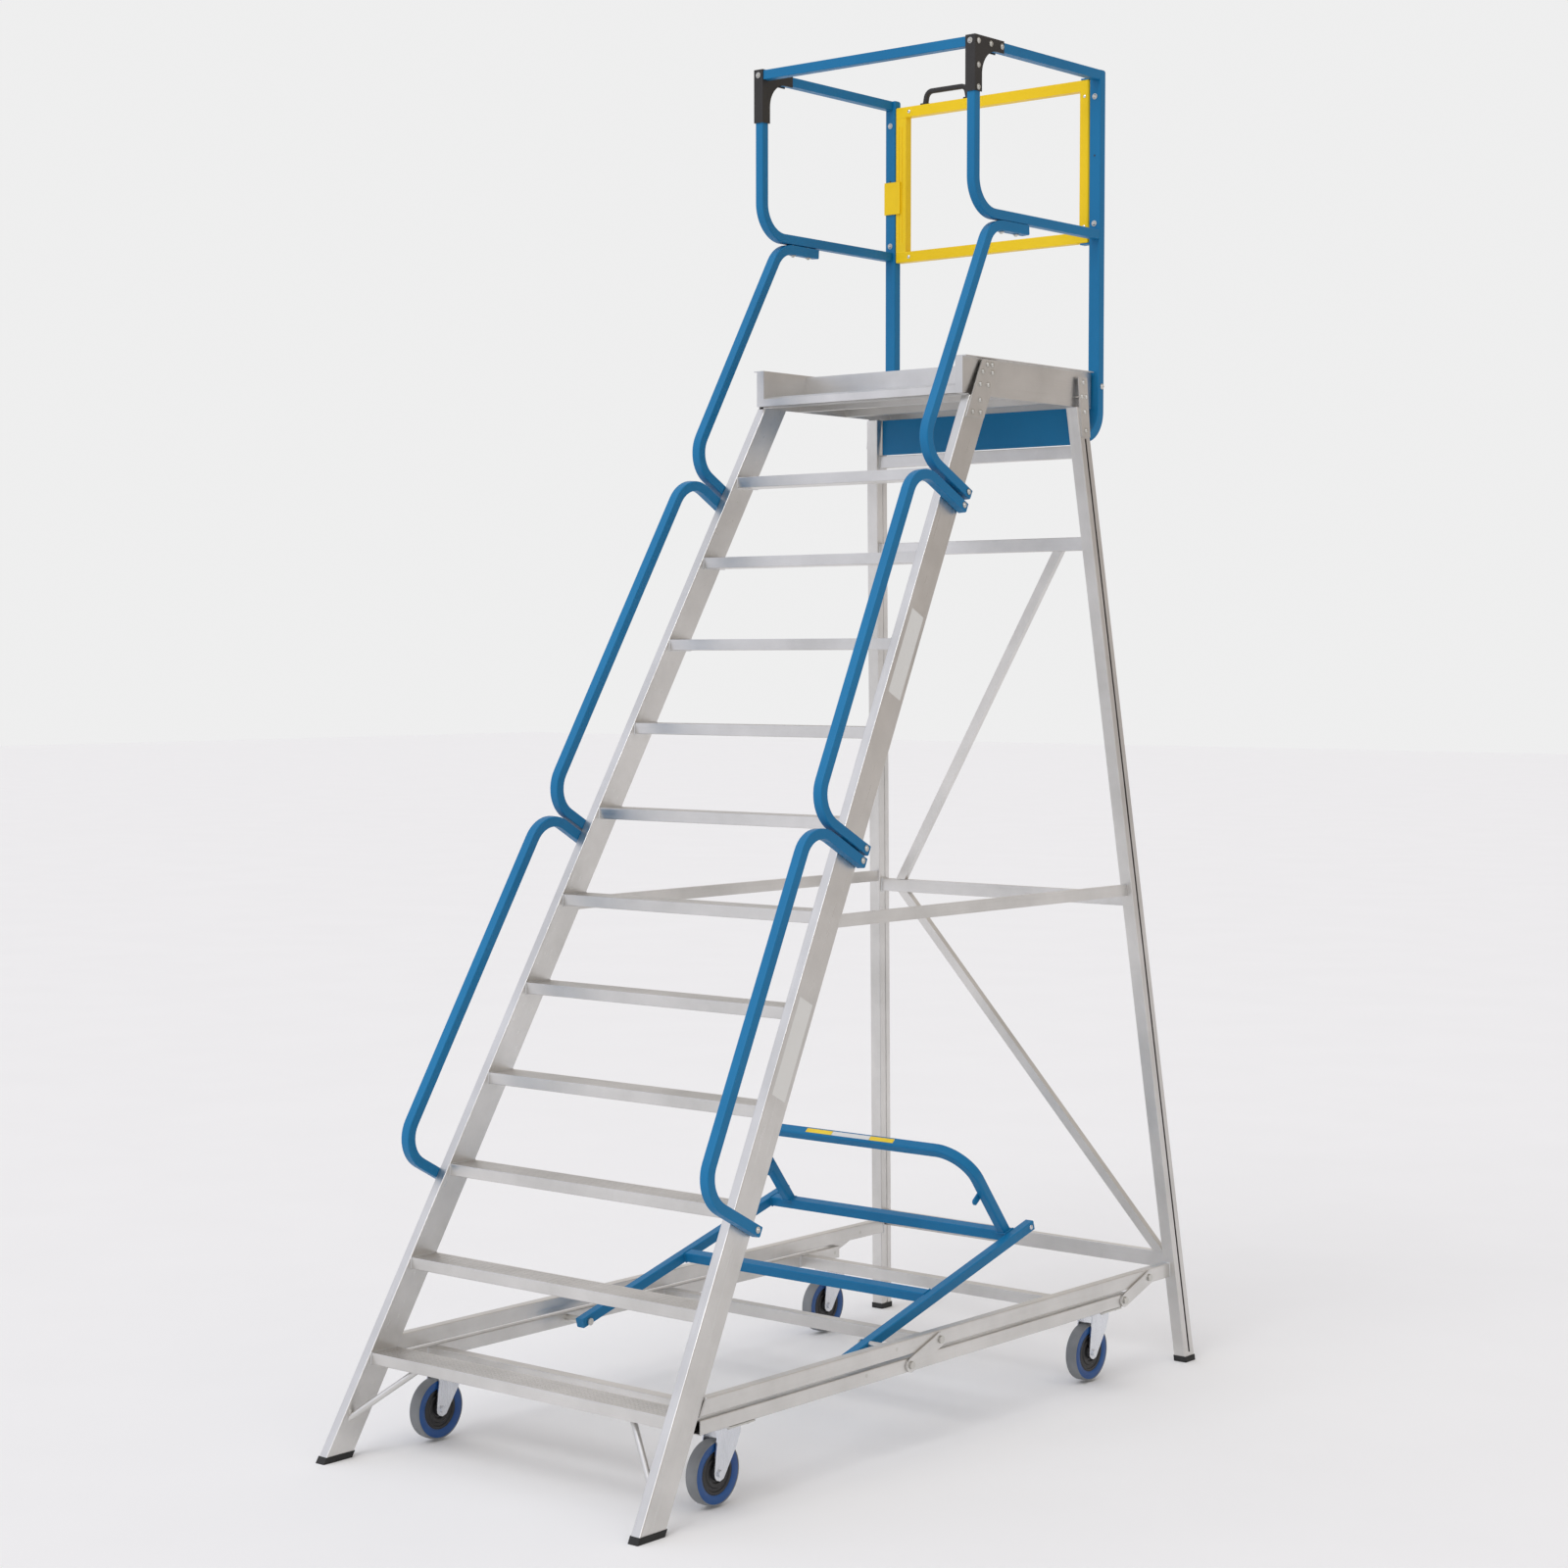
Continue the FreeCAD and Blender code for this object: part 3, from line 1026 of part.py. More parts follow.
core = box((window_x[0] - GATE_WALL, window_x[1] + GATE_WALL), through_y,
           (window_z[0] - GATE_WALL, window_z[1] + GATE_WALL))
gate = gate.cut(cavity.cut(core))
for flute_x in (GATE_X[0] + 12.0, GATE_X[0] + GATE_LATCH_W - 16.0):
    gate = gate.cut(box((flute_x, flute_x + 4.0), (gate_y[0] - 1.0, gate_y[0] + 1.0),
                        (window_z[0] + 30.0, window_z[1] - 30.0)))
pin_x = GATE_X[1] - GATE_TUBE / 2.0
for z_end, way in ((GATE_Z[0] - 1.0, 1), (GATE_Z[1] + 1.0, -1)):
    gate = gate.cut(cylinder(Vector(pin_x, GUARD_POST_Y, z_end), Vector(0, 0, way),
                             GATE_PIN_R + PIVOT_CLEARANCE, 20.0))
strap_y = (gate_y[0] - 5.5, gate_y[0] - 1.5)
strap_z = (3693.0, 3797.0)
strap_x = (-421.0, -358.0)
gate = gate.fuse([box(strap_x, strap_y, strap_z),
                  box((GATE_X[0] + 0.5, strap_x[1]), (strap_y[1] - 1.0, gate_y[0] + 1.5), strap_z)])
save("gate_frame", gate.removeSplitter())

handle_x = (-268.0, -96.0)
handle_z = GATE_Z[1] + 0.1
handle_points = [Vector(x, GUARD_POST_Y, handle_z + rise)
                 for x, rise in ((handle_x[0], 0.0), (handle_x[0] + 8.0, 42.0),
                                 (handle_x[1] - 8.0, 42.0), (handle_x[1], 0.0))]
handle = swept(handle_points, [24.0, 24.0], Vector(0, 1, 0), (16.0, 16.0), 5.0)
for x in handle_x:
    handle = handle.fuse(box((x - 13.0, x + 13.0), (GUARD_POST_Y - 11.0, GUARD_POST_Y + 11.0),
                             (handle_z, handle_z + 5.0)))
handle = handle.cut(box((-400.0, 100.0), (1000.0, 1100.0), (handle_z - 30.0, handle_z)))
save("gate_handle", handle.removeSplitter())

hinges = []
for z0, z1, pin_z in ((GATE_Z[0] - 6.0, GATE_Z[0] - 1.0, 14.0), (GATE_Z[1] + 1.0, GATE_Z[1] + 6.0, -14.0)):
    leaf = box((pin_x - 14.0, POST_X[0]), (GUARD_POST_Y - 13.0, GUARD_POST_Y + 13.0), (z0, z1))
    base = z0 if pin_z > 0 else z1
    pin = cylinder(Vector(pin_x, GUARD_POST_Y, base), Vector(0, 0, 1 if pin_z > 0 else -1), GATE_PIN_R, 6.0 + 12.0)
    hinges.append(leaf.fuse(pin).removeSplitter())
save("gate_hinges", *hinges)

# ---------------------------------------------------------------- screws and rivets
save("frame_fasteners", *[fastener_solid(*item) for item in frame_fasteners])
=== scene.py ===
import math
import random

import bmesh
import bpy
from mathutils import Matrix, Vector


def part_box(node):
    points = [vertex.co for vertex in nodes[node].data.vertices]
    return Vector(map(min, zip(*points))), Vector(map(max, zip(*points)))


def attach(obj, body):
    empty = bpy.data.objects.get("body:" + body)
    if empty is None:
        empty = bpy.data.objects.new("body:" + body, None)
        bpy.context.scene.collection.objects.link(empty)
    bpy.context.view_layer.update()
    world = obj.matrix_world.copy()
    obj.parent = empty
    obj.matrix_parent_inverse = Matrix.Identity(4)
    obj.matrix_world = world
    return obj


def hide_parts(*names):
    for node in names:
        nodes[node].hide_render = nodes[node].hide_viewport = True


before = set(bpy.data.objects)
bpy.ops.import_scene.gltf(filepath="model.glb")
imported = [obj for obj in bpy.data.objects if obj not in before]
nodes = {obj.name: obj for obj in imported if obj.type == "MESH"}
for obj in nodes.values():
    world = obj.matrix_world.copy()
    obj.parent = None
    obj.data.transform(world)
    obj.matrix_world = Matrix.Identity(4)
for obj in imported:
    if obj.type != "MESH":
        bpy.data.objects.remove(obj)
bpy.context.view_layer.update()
rng = random.Random(11)

X, Y, Z = Vector((1, 0, 0)), Vector((0, 1, 0)), Vector((0, 0, 1))


# ---------------------------------------------------------------- materials
class Shader:
    """A Principled material and a few shorthands for wiring textures into it."""

    def __init__(self, name, **values):
        self.mat = bpy.data.materials.new(name)
        self.mat.use_nodes = True
        self.tree = self.mat.node_tree
        self.bsdf = self.tree.nodes["Principled BSDF"]
        for key, value in values.items():
            self.bsdf.inputs[key.replace("_", " ")].default_value = value
        coords = self.tree.nodes.new("ShaderNodeTexCoord")
        self.coords = coords.outputs["Object"]

    def link(self, source, target):
        self.tree.links.new(source, target)

    def along(self, direction, stretch):
        """Object coordinates squeezed along one direction, for drawn or brushed marks."""
        first = Vector(direction).normalized()
        helper = Z if abs(first.z) < 0.7 else X
        second = first.cross(helper).normalized()
        third = first.cross(second)
        combine = self.tree.nodes.new("ShaderNodeCombineXYZ")
        for axis, weight, socket in ((first, stretch, 0), (second, 1.0, 1), (third, 1.0, 2)):
            dot = self.tree.nodes.new("ShaderNodeVectorMath")
            dot.operation = "DOT_PRODUCT"
            dot.inputs[1].default_value = axis * weight
            self.link(self.coords, dot.inputs[0])
            self.link(dot.outputs["Value"], combine.inputs[socket])
        return combine.outputs[0]

    def noise(self, scale, detail=4.0, roughness=0.55, vector=None):
        node = self.tree.nodes.new("ShaderNodeTexNoise")
        node.inputs["Scale"].default_value = scale
        node.inputs["Detail"].default_value = detail
        node.inputs["Roughness"].default_value = roughness
        self.link(vector or self.coords, node.inputs["Vector"])
        return node.outputs["Fac"]

    def ramp(self, source, low, high, start=0.35, end=0.65):
        node = self.tree.nodes.new("ShaderNodeValToRGB")
        for element, position, colour in zip(node.color_ramp.elements, (start, end), (low, high)):
            element.position = position
            element.color = tuple(colour) + (1.0,) if len(colour) == 3 else colour
        self.link(source, node.inputs["Fac"])
        return node.outputs["Color"]

    def span(self, source, low, high, start=0.3, end=0.7):
        node = self.tree.nodes.new("ShaderNodeMapRange")
        for socket, value in zip(("From Min", "From Max", "To Min", "To Max"), (start, end, low, high)):
            node.inputs[socket].default_value = value
        self.link(source, node.inputs["Value"])
        return node.outputs["Result"]

    def bump(self, height, strength, distance, normal=None):
        node = self.tree.nodes.new("ShaderNodeBump")
        node.inputs["Strength"].default_value = strength
        node.inputs["Distance"].default_value = distance
        self.link(height, node.inputs["Height"])
        if normal is not None:
            self.link(normal, node.inputs["Normal"])
        return node.outputs["Normal"]


def metal(name, direction, low, high, rough, metallic=1.0):
    """Extruded or drawn metal: fine lines along the section and soft handling marks."""
    s = Shader(name, Metallic=metallic)
    lines = s.noise(260.0, 3.0, 0.6, s.along(direction, 0.012))
    marks = s.noise(3.2, 5.0, 0.6)
    s.link(s.ramp(marks, low, high, 0.3, 0.7), s.bsdf.inputs["Base Color"])
    s.link(s.span(lines, rough - 0.07, rough + 0.09), s.bsdf.inputs["Roughness"])
    s.link(s.bump(lines, 0.25, 0.0004), s.bsdf.inputs["Normal"])
    return s.mat


def paint(name, low, high, rough=0.40):
    """Powder coat: orange-peel surface, slight tone change and a clear sheen."""
    s = Shader(name, Metallic=0.0, Coat_Weight=0.06, Coat_Roughness=0.25, Specular_IOR_Level=0.22)
    tone = s.noise(2.6, 4.0)
    peel = s.noise(420.0, 2.0)
    grime = s.noise(38.0, 5.0, 0.7)
    s.link(s.ramp(tone, low, high, 0.3, 0.7), s.bsdf.inputs["Base Color"])
    s.link(s.span(grime, rough - 0.05, rough + 0.1), s.bsdf.inputs["Roughness"])
    s.link(s.bump(peel, 0.35, 0.0005), s.bsdf.inputs["Normal"])
    return s.mat


def moulded(name, low, high, rough, grain=650.0, depth=0.0004):
    """Moulded plastic or rubber with a fine grain."""
    s = Shader(name, Metallic=0.0)
    tone = s.noise(9.0, 4.0)
    fine = s.noise(grain, 3.0)
    s.link(s.ramp(tone, low, high), s.bsdf.inputs["Base Color"])
    s.link(s.span(fine, rough - 0.08, rough + 0.08), s.bsdf.inputs["Roughness"])
    s.link(s.bump(fine, 0.4, depth), s.bsdf.inputs["Normal"])
    return s.mat


def banded_label(name, colours, axis, low, high):
    """Printed strip: plain colour bands along one axis of the object."""
    s = Shader(name, Metallic=0.0, Roughness=0.42)
    dot = s.tree.nodes.new("ShaderNodeVectorMath")
    dot.operation = "DOT_PRODUCT"
    dot.inputs[1].default_value = axis
    s.link(s.coords, dot.inputs[0])
    fac = s.span(dot.outputs["Value"], 0.0, 1.0, low, high)
    node = s.tree.nodes.new("ShaderNodeValToRGB")
    node.color_ramp.interpolation = "CONSTANT"
    elements = node.color_ramp.elements
    while len(elements) < len(colours):
        elements.new(0.5)
    for element, (position, colour) in zip(elements, colours):
        element.position = position
        element.color = tuple(colour) + (1.0,)
    s.link(fac, node.inputs["Fac"])
    s.link(node.outputs["Color"], s.bsdf.inputs["Base Color"])
    fine = s.noise(300.0, 2.0)
    s.link(s.bump(fine, 0.2, 0.0002), s.bsdf.inputs["Normal"])
    return s.mat


stile_low, stile_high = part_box("stile_right")
leg_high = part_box("rear_leg_right")[1]
STILE_W = 0.032
STILE_D = 0.102
height = stile_high.z - stile_low.z
stile_lean = Vector((-(stile_high.x - stile_low.x - STILE_W) / height,
                     (stile_high.y - stile_low.y - STILE_D) / height, 1.0))
leg_lean = Vector((-0.073, -0.107, 1.0))

ALU_LOW, ALU_HIGH = (0.60, 0.59, 0.57), (0.76, 0.745, 0.725)
aluminium = {
    "x": metal("aluminium_across", X, ALU_LOW, ALU_HIGH, 0.36),
    "y": metal("aluminium_lengthwise", Y, ALU_LOW, ALU_HIGH, 0.36),
    "z": metal("aluminium_upright", leg_lean, ALU_LOW, ALU_HIGH, 0.36),
    "stile": metal("aluminium_stile", stile_lean, ALU_LOW, ALU_HIGH, 0.34),
    "rail": metal("aluminium_handrail", stile_lean, (0.64, 0.63, 0.61), (0.78, 0.77, 0.75), 0.33),
}
blue = paint("blue_powder_coat", (0.005, 0.150, 0.335), (0.008, 0.178, 0.388))
yellow = paint("yellow_powder_coat", (0.84, 0.555, 0.006), (0.93, 0.640, 0.012), 0.38)
zinc = metal("zinc_plated_steel", Z, (0.50, 0.49, 0.45), (0.68, 0.67, 0.64), 0.34)
fork_zinc = metal("bright_zinc", Z, (0.62, 0.64, 0.68), (0.80, 0.82, 0.86), 0.26)
weld_metal = metal("weld_metal", X, (0.58, 0.58, 0.58), (0.78, 0.78, 0.78), 0.38)
plastic = moulded("dark_plastic", (0.013, 0.011, 0.010), (0.022, 0.019, 0.017), 0.48)
rubber = moulded("foot_rubber", (0.011, 0.011, 0.011), (0.022, 0.022, 0.022), 0.68, 420.0, 0.0006)
tyre_rubber = moulded("tyre_rubber", (0.17, 0.18, 0.19), (0.24, 0.25, 0.26), 0.55)
ring_plastic = moulded("ring_plastic", (0.004, 0.055, 0.22), (0.007, 0.080, 0.28), 0.35)
hub_plastic = moulded("hub_plastic", (0.012, 0.012, 0.013), (0.020, 0.020, 0.022), 0.40)
label_white = banded_label("label_white", ((0.0, (0.62, 0.62, 0.60)), (0.16, (0.74, 0.74, 0.72)),
                                           (0.24, (0.50, 0.50, 0.49)), (0.30, (0.74, 0.74, 0.72)),
                                           (0.62, (0.54, 0.54, 0.53)), (0.70, (0.74, 0.74, 0.72))),
                           Z, 0.0, 1.0)
label_yellow = moulded("label_yellow", (0.86, 0.60, 0.015), (0.92, 0.66, 0.03), 0.42)

NODE_MATERIAL = {
    "base_rails": aluminium["y"], "carriage_rails": aluminium["y"], "side_braces": aluminium["y"],
    "carriage_crossbars": aluminium["x"], "rear_crossbars": aluminium["x"],
    "rear_diagonals": aluminium["z"], "rear_leg_left": aluminium["z"], "rear_leg_right": aluminium["z"],
    "stile_left": aluminium["stile"], "stile_right": aluminium["stile"],
    "handrails_left": blue, "handrails_right": blue,
    "joint_plates": aluminium["z"], "foot_struts": aluminium["x"],
    "toe_board_left": aluminium["y"], "toe_board_right": aluminium["y"], "toe_board_cross": aluminium["x"],
    "platform_deck": aluminium["y"], "platform_nosing": aluminium["x"],
    "rear_panel": blue, "guard_front_bar": blue, "guard_post_left": blue, "guard_post_right": blue,
    "guard_side_left": blue, "guard_side_right": blue, "gate_hinges": blue,
    "lever_frame": blue, "lever_hoop": blue,
    "gate_frame": yellow, "gate_handle": plastic, "corner_brackets": plastic,
    "foot_caps": rubber,
}
for name, node in nodes.items():
    material = NODE_MATERIAL.get(name)
    if material is None:
        material = aluminium["x"] if name.startswith("step_") else zinc
        if name.startswith("castor_fork"):
            material = fork_zinc
        if "_link_" in name:
            material = aluminium["y"]
    if not node.material_slots:
        node.data.materials.append(material)
    for entry in node.material_slots:
        entry.material = material


# ---------------------------------------------------------------- piece builders
def piece(name, bm, body, material, bevel=0.0, smooth=True):
    """Turn a bmesh into a named piece that rides on a body."""
    bmesh.ops.recalc_face_normals(bm, faces=bm.faces)
    mesh = bpy.data.meshes.new(name)
    bm.to_mesh(mesh)
    bm.free()
    obj = bpy.data.objects.new(name, mesh)
    bpy.context.scene.collection.objects.link(obj)
    mesh.materials.append(material)
    for polygon in mesh.polygons:
        polygon.use_smooth = smooth
    if bevel:
        modifier = obj.modifiers.new("edges", "BEVEL")
        modifier.width = bevel
        modifier.segments = 2
        modifier.limit_method = "ANGLE"
        modifier.angle_limit = math.radians(35)
    if smooth:
        mesh.set_sharp_from_angle(angle=math.radians(38))
    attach(obj, body)
    return obj


def add_box(bm, centre, size, rotation=None):
    matrix = Matrix.Translation(centre)
    if rotation is not None:
        matrix = matrix @ rotation.to_4x4()
    scale = Matrix.Diagonal(Vector(size).to_4d())
    scale[3][3] = 1.0
    bmesh.ops.create_cube(bm, size=1.0, matrix=matrix @ scale)


def add_lathe(bm, profile, centre, axis, segments=48):
    """Revolve (distance along axis, radius) points; the profile runs round a closed section."""
    axis = Vector(axis).normalized()
    helper = Z if abs(axis.z) < 0.7 else X
    e1 = axis.cross(helper).normalized()
    e2 = axis.cross(e1)
    rings = []
    for i in range(segments):
        turn = 2 * math.pi * i / segments
        out = e1 * math.cos(turn) + e2 * math.sin(turn)
        rings.append([bm.verts.new(Vector(centre) + axis * a + out * r) for a, r in profile])
    count = len(profile)
    for i in range(segments):
        ring, following = rings[i], rings[(i + 1) % segments]
        for j in range(count):
            k = (j + 1) % count
            bm.faces.new((ring[j], ring[k], following[k], following[j]))


def add_bead(bm, points, radius, closed=False):
    """Weld bead: a rippled tube that follows a path of straight runs."""
    path = [Vector(p) for p in points]
    if closed:
        path.append(path[0])
    samples = []
    for a, b in zip(path, path[1:]):
        steps = max(1, round((b - a).length / (radius * 0.55)))
        samples += [a.lerp(b, i / steps) for i in range(steps)]
    if not closed:
        samples.append(path[-1])
    rings = []
    total = len(samples)
    for i, point in enumerate(samples):
        before = samples[i - 1] if (i > 0 or closed) else point
        after = samples[(i + 1) % total] if (i + 1 < total or closed) else point
        ahead = (after - before).normalized()
        helper = Z if abs(ahead.z) < 0.7 else X
        e1 = ahead.cross(helper).normalized()
        e2 = ahead.cross(e1)
        size = radius * (0.86 + 0.2 * abs(math.sin(i * math.pi / 3.0)) + rng.uniform(-0.04, 0.04))
        if not closed and i in (0, total - 1):
            size *= 0.5
        rings.append([bm.verts.new(point + (e1 * math.cos(t) + e2 * math.sin(t)) * size)
                      for t in (2 * math.pi * k / 7 for k in range(7))])
    last = total if closed else total - 1
    for i in range(last):
        ring, following = rings[i], rings[(i + 1) % total]
        for k in range(7):
            m = (k + 1) % 7
            bm.faces.new((ring[k], ring[m], following[m], following[k]))
    if not closed:
        bm.faces.new(rings[0])
        bm.faces.new(list(reversed(rings[-1])))


def beads(name, paths, radius, body, material, closed=True):
    bm = bmesh.new()
    for path in paths:
        add_bead(bm, path, radius, closed)
    return piece(name, bm, body, material)


def mirrored_profile(points, half, r):
    """Lathe profile in wheel units, from the inside out on one face and back on the other."""
    side = [(a * half, b * r) for a, b in points]
    return side + [(-a, b) for a, b in reversed(side)]


def add_dome(bm, seat, axis, radius, height):
    """Domed screw head standing on a surface."""
    profile = [(0.0, 0.0002), (0.0, radius), (height * 0.45, radius * 0.93), (height * 0.85, radius * 0.6),
               (height, 0.0002)]
    add_lathe(bm, profile, seat, axis, 20)


# ---------------------------------------------------------------- castor wheels
def wheel_visual(where):
    """Grey tread, blue ring and dark stepped centre with its hub."""
    node = "castor_wheel_" + where
    low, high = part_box(node)
    centre = (low + high) / 2
    r = (high.z - low.z) / 2
    hub_half = (high.x - low.x) / 2
    half = hub_half - 0.0034
    bm = bmesh.new()
    tread = [(0.97, 0.945), (1.0, 0.965), (0.97, 0.982), (0.82, 0.995), (0.45, 1.0)]
    add_lathe(bm, mirrored_profile(tread, half, r), centre, X, 72)
    piece("tyre_" + where, bm, node, tyre_rubber)
    bm = bmesh.new()
    ring = [(0.84, 0.678), (0.93, 0.70), (0.99, 0.80), (0.985, 0.90), (0.95, 0.942)]
    add_lathe(bm, mirrored_profile(ring, half, r), centre, X, 72)
    piece("ring_" + where, bm, node, ring_plastic)
    bm = bmesh.new()
    web = [(hub_half / half, 0.0064 / r), (hub_half / half, 0.20), (0.66, 0.235), (0.60, 0.30), (0.80, 0.33),
           (0.84, 0.36), (0.84, 0.44), (0.70, 0.47), (0.70, 0.56), (0.86, 0.585), (0.88, 0.62), (0.82, 0.675)]
    add_lathe(bm, mirrored_profile(web, half, r), centre, X, 72)
    rim = piece("rim_" + where, bm, node, hub_plastic)
    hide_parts(node)


WHERE = [a + "_" + b for a in ("front", "rear") for b in ("left", "right")]
for where in WHERE:
    wheel_visual(where)


# ---------------------------------------------------------------- weld beads on the frame
def quad_at(x_low, x_high, y, z):
    """Corners of a bar end: x at the lower and upper edge, y and z limits."""
    return [Vector((x_low, y[0], z[0])), Vector((x_low, y[1], z[0])),
            Vector((x_high, y[1], z[1])), Vector((x_high, y[0], z[1]))]


def flipped(path):
    return [Vector((-p.x, p.y, p.z)) for p in path]


STILE_FLARE = -stile_lean.x
paths = []
for name in sorted(nodes):
    if name.startswith("step_"):
        low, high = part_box(name)
        path = quad_at(high.x, high.x - STILE_FLARE * (high.z - low.z), (low.y, high.y), (low.z, high.z))
        paths += [path, flipped(path)]
beads("step_welds", paths, 0.0024, "frame", weld_metal)

paths = []
low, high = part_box("carriage_crossbars")
CROSS_HALF = 0.020
for y in (low.y + CROSS_HALF, 0.115, high.y - CROSS_HALF):
    path = quad_at(high.x, high.x, (y - CROSS_HALF, y + CROSS_HALF), (low.z, high.z))
    paths += [path, flipped(path)]
beads("carriage_welds", paths, 0.0022, "carriage", weld_metal)

LEG_FLARE, LEG_SLOPE, LEG_W, LEG_D = 0.0729, 0.1068, 0.042, 0.054


def leg_inner(z):
    return leg_high.x - LEG_FLARE * z - LEG_W


def leg_front(z):
    return leg_high.y - LEG_D - LEG_SLOPE * z


def stile_back(z):
    return stile_low.y + stile_lean.y * z + STILE_D


paths = []
low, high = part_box("rear_crossbars")
for z0, z1 in ((low.z, low.z + 0.050), (1.462, 1.504), (2.576, 2.618), (high.z - 0.039, high.z)):
    front = leg_front(z0) + 0.010
    path = quad_at(leg_inner(z0), leg_inner(z1), (front, front + 0.025), (z0, z1))
    paths += [path, flipped(path)]
rail_low, rail_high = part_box("base_rails")
RAIL_IN = 0.560
z0, z1 = rail_low.z, rail_high.z
for edge in (stile_back, leg_front):
    path = [Vector((RAIL_IN, edge(z0), z0)), Vector((rail_high.x, edge(z0), z0)),
            Vector((rail_high.x, edge(z1), z1)), Vector((RAIL_IN, edge(z1), z1))]
    paths += [path, flipped(path)]
beads("frame_welds", paths, 0.0026, "frame", weld_metal)

# ---------------------------------------------------------------- lever details
LEVER_LOW = Vector((0.0, -0.346, 0.257))
lever_along = Vector((0.0, 1.0, 0.28)).normalized()
lever_up = Vector((0.0, -lever_along.z, lever_along.y))
ARM_IN, ARM_OUT = 0.465, 0.495
ARM_LEN = (0.600 + 0.346) / lever_along.y
CROSS_AT = [(y + 0.346) / lever_along.y for y in (0.102, 0.520)]
TUBE_HALF = 0.016
HOOP_HALF = 0.016
HOOP_X = (-0.395, 0.447)
HOOP_H = 0.346
HOOP_TILT = math.radians(38.0)
FOOT_REACH = 0.0178           # half length of a hoop foot along the lever
FOOT_SHIFT = 0.0066           # how far the tilted foot's centre lies in front of the crossbar's
FOOT_HALF_W = HOOP_HALF + 0.001
CORNERS = ((-1, -1), (1, -1), (1, 1), (-1, 1))


def lever_point(x, distance, up):
    return LEVER_LOW + X * x + lever_along * distance + lever_up * up


paths = []
for at in CROSS_AT:
    path = [lever_point(ARM_IN, at + a * TUBE_HALF, b * TUBE_HALF) for a, b in CORNERS]
    paths += [path, flipped(path)]
for x_mid in HOOP_X:
    paths.append([lever_point(x_mid + a * FOOT_HALF_W, CROSS_AT[1] - FOOT_SHIFT + b * FOOT_REACH, TUBE_HALF)
                  for a, b in CORNERS])
beads("lever_welds", paths, 0.0026, "lever", blue)

SCREW_FROM_END = 0.016
bm = bmesh.new()
for side in (-1, 1):
    seat = lever_point(side * ARM_OUT, ARM_LEN - SCREW_FROM_END, 0.0)
    add_dome(bm, seat, X * side, 0.0075, 0.0035)
    add_dome(bm, seat, X * side, 0.0052, 0.0055)
piece("lever_end_screws", bm, "lever", fork_zinc)

# printed strips on the hoop: yellow, plain white, yellow
hoop_back = Vector((0.0, math.cos(HOOP_TILT), math.sin(HOOP_TILT)))
hoop_up = Vector((0.0, -math.sin(HOOP_TILT), math.cos(HOOP_TILT)))
hoop_turn = Matrix((X, hoop_back, hoop_up)).transposed()
STRIP_GAP = 0.001
strip_row = lever_point(0.0, CROSS_AT[1], 0.0) + hoop_up * (HOOP_H + HOOP_HALF + 0.0001)
for name, x0, x1, material in (("hoop_strip_left", -0.150, -0.048, label_yellow),
                               ("hoop_strip_middle", -0.048, 0.098, label_white),
                               ("hoop_strip_right", 0.098, 0.190, label_yellow)):
    bm = bmesh.new()
    add_box(bm, strip_row + X * (x0 + x1) / 2, (x1 - x0 - STRIP_GAP, 0.016, 0.0004), hoop_turn)
    piece(name, bm, "lever", material, 0.0, False)

# plain strips on the outer face of the right stile
STRIP_T, STRIP_W = 0.0004, 0.058
stile_dir = stile_lean.normalized()
face_x = Vector((1.0, 0.0, STILE_FLARE)).normalized()
stile_turn = Matrix((face_x, stile_dir.cross(face_x), stile_dir)).transposed()
for name, z0, z1 in (("stile_strip_low", 1.058, 1.308), ("stile_strip_high", 2.133, 2.370)):
    middle = (z0 + z1) / 2
    spot = Vector((stile_high.x - STILE_FLARE * middle, stile_low.y + stile_lean.y * middle + 0.048, middle))
    bm = bmesh.new()
    add_box(bm, spot + face_x * (STRIP_T / 2), (STRIP_T, STRIP_W, (z1 - z0) * stile_lean.length), stile_turn)
    piece(name, bm, "frame", label_white, 0.0, False)

# ---------------------------------------------------------------- gate details
gate_low, gate_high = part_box("gate_frame")
GATE_LEFT, GATE_RIGHT, GATE_Y = -0.377, 0.377, 1.052
bm = bmesh.new()
for z, way in ((gate_high.z, -1), (gate_low.z, 1)):
    add_box(bm, Vector((GATE_LEFT + 0.0195, GATE_Y, z + way * 0.018)), (0.0402, 0.0294, 0.0368))
    add_box(bm, Vector((GATE_LEFT + 0.046, GATE_Y, z + way * 0.0165)), (0.040, 0.0290, 0.0334))
piece("gate_corners", bm, "gate", yellow, 0.003)
bm = bmesh.new()
add_box(bm, Vector((GATE_RIGHT - 0.024, GATE_Y, gate_low.z + 0.016)), (0.044, 0.0292, 0.0336))
piece("gate_hinge_block", bm, "gate", yellow, 0.002)
bm = bmesh.new()
for z, way in ((gate_high.z, -1), (gate_low.z, 1)):
    for face in (-1, 1):
        latch_seat = Vector((GATE_LEFT + 0.053, GATE_Y + face * 0.0145, z + way * 0.016))
        hinge_seat = Vector((GATE_RIGHT - 0.016, GATE_Y + face * 0.0140, z + way * 0.050))
        add_dome(bm, latch_seat, Y * face, 0.0058, 0.0034)
        add_dome(bm, hinge_seat, Y * face, 0.0050, 0.0030)
piece("gate_screws", bm, "gate", fork_zinc)

# ---------------------------------------------------------------- guard details
POST_MID_X, POST_FRONT_Y, POST_HOLE_Z = 0.400, 1.037, 3.800
# thin dark discs on the post fronts: painted shade standing in for the unlit inside of the holes
bm = bmesh.new()
for side in (-1, 1):
    add_lathe(bm, [(0.0, 0.0002), (0.0, 0.0032), (0.0003, 0.0032), (0.0003, 0.0002)],
              Vector((side * POST_MID_X, POST_FRONT_Y, POST_HOLE_Z)), -Y, 20)
piece("post_hole_painted_shade", bm, "frame", plastic)

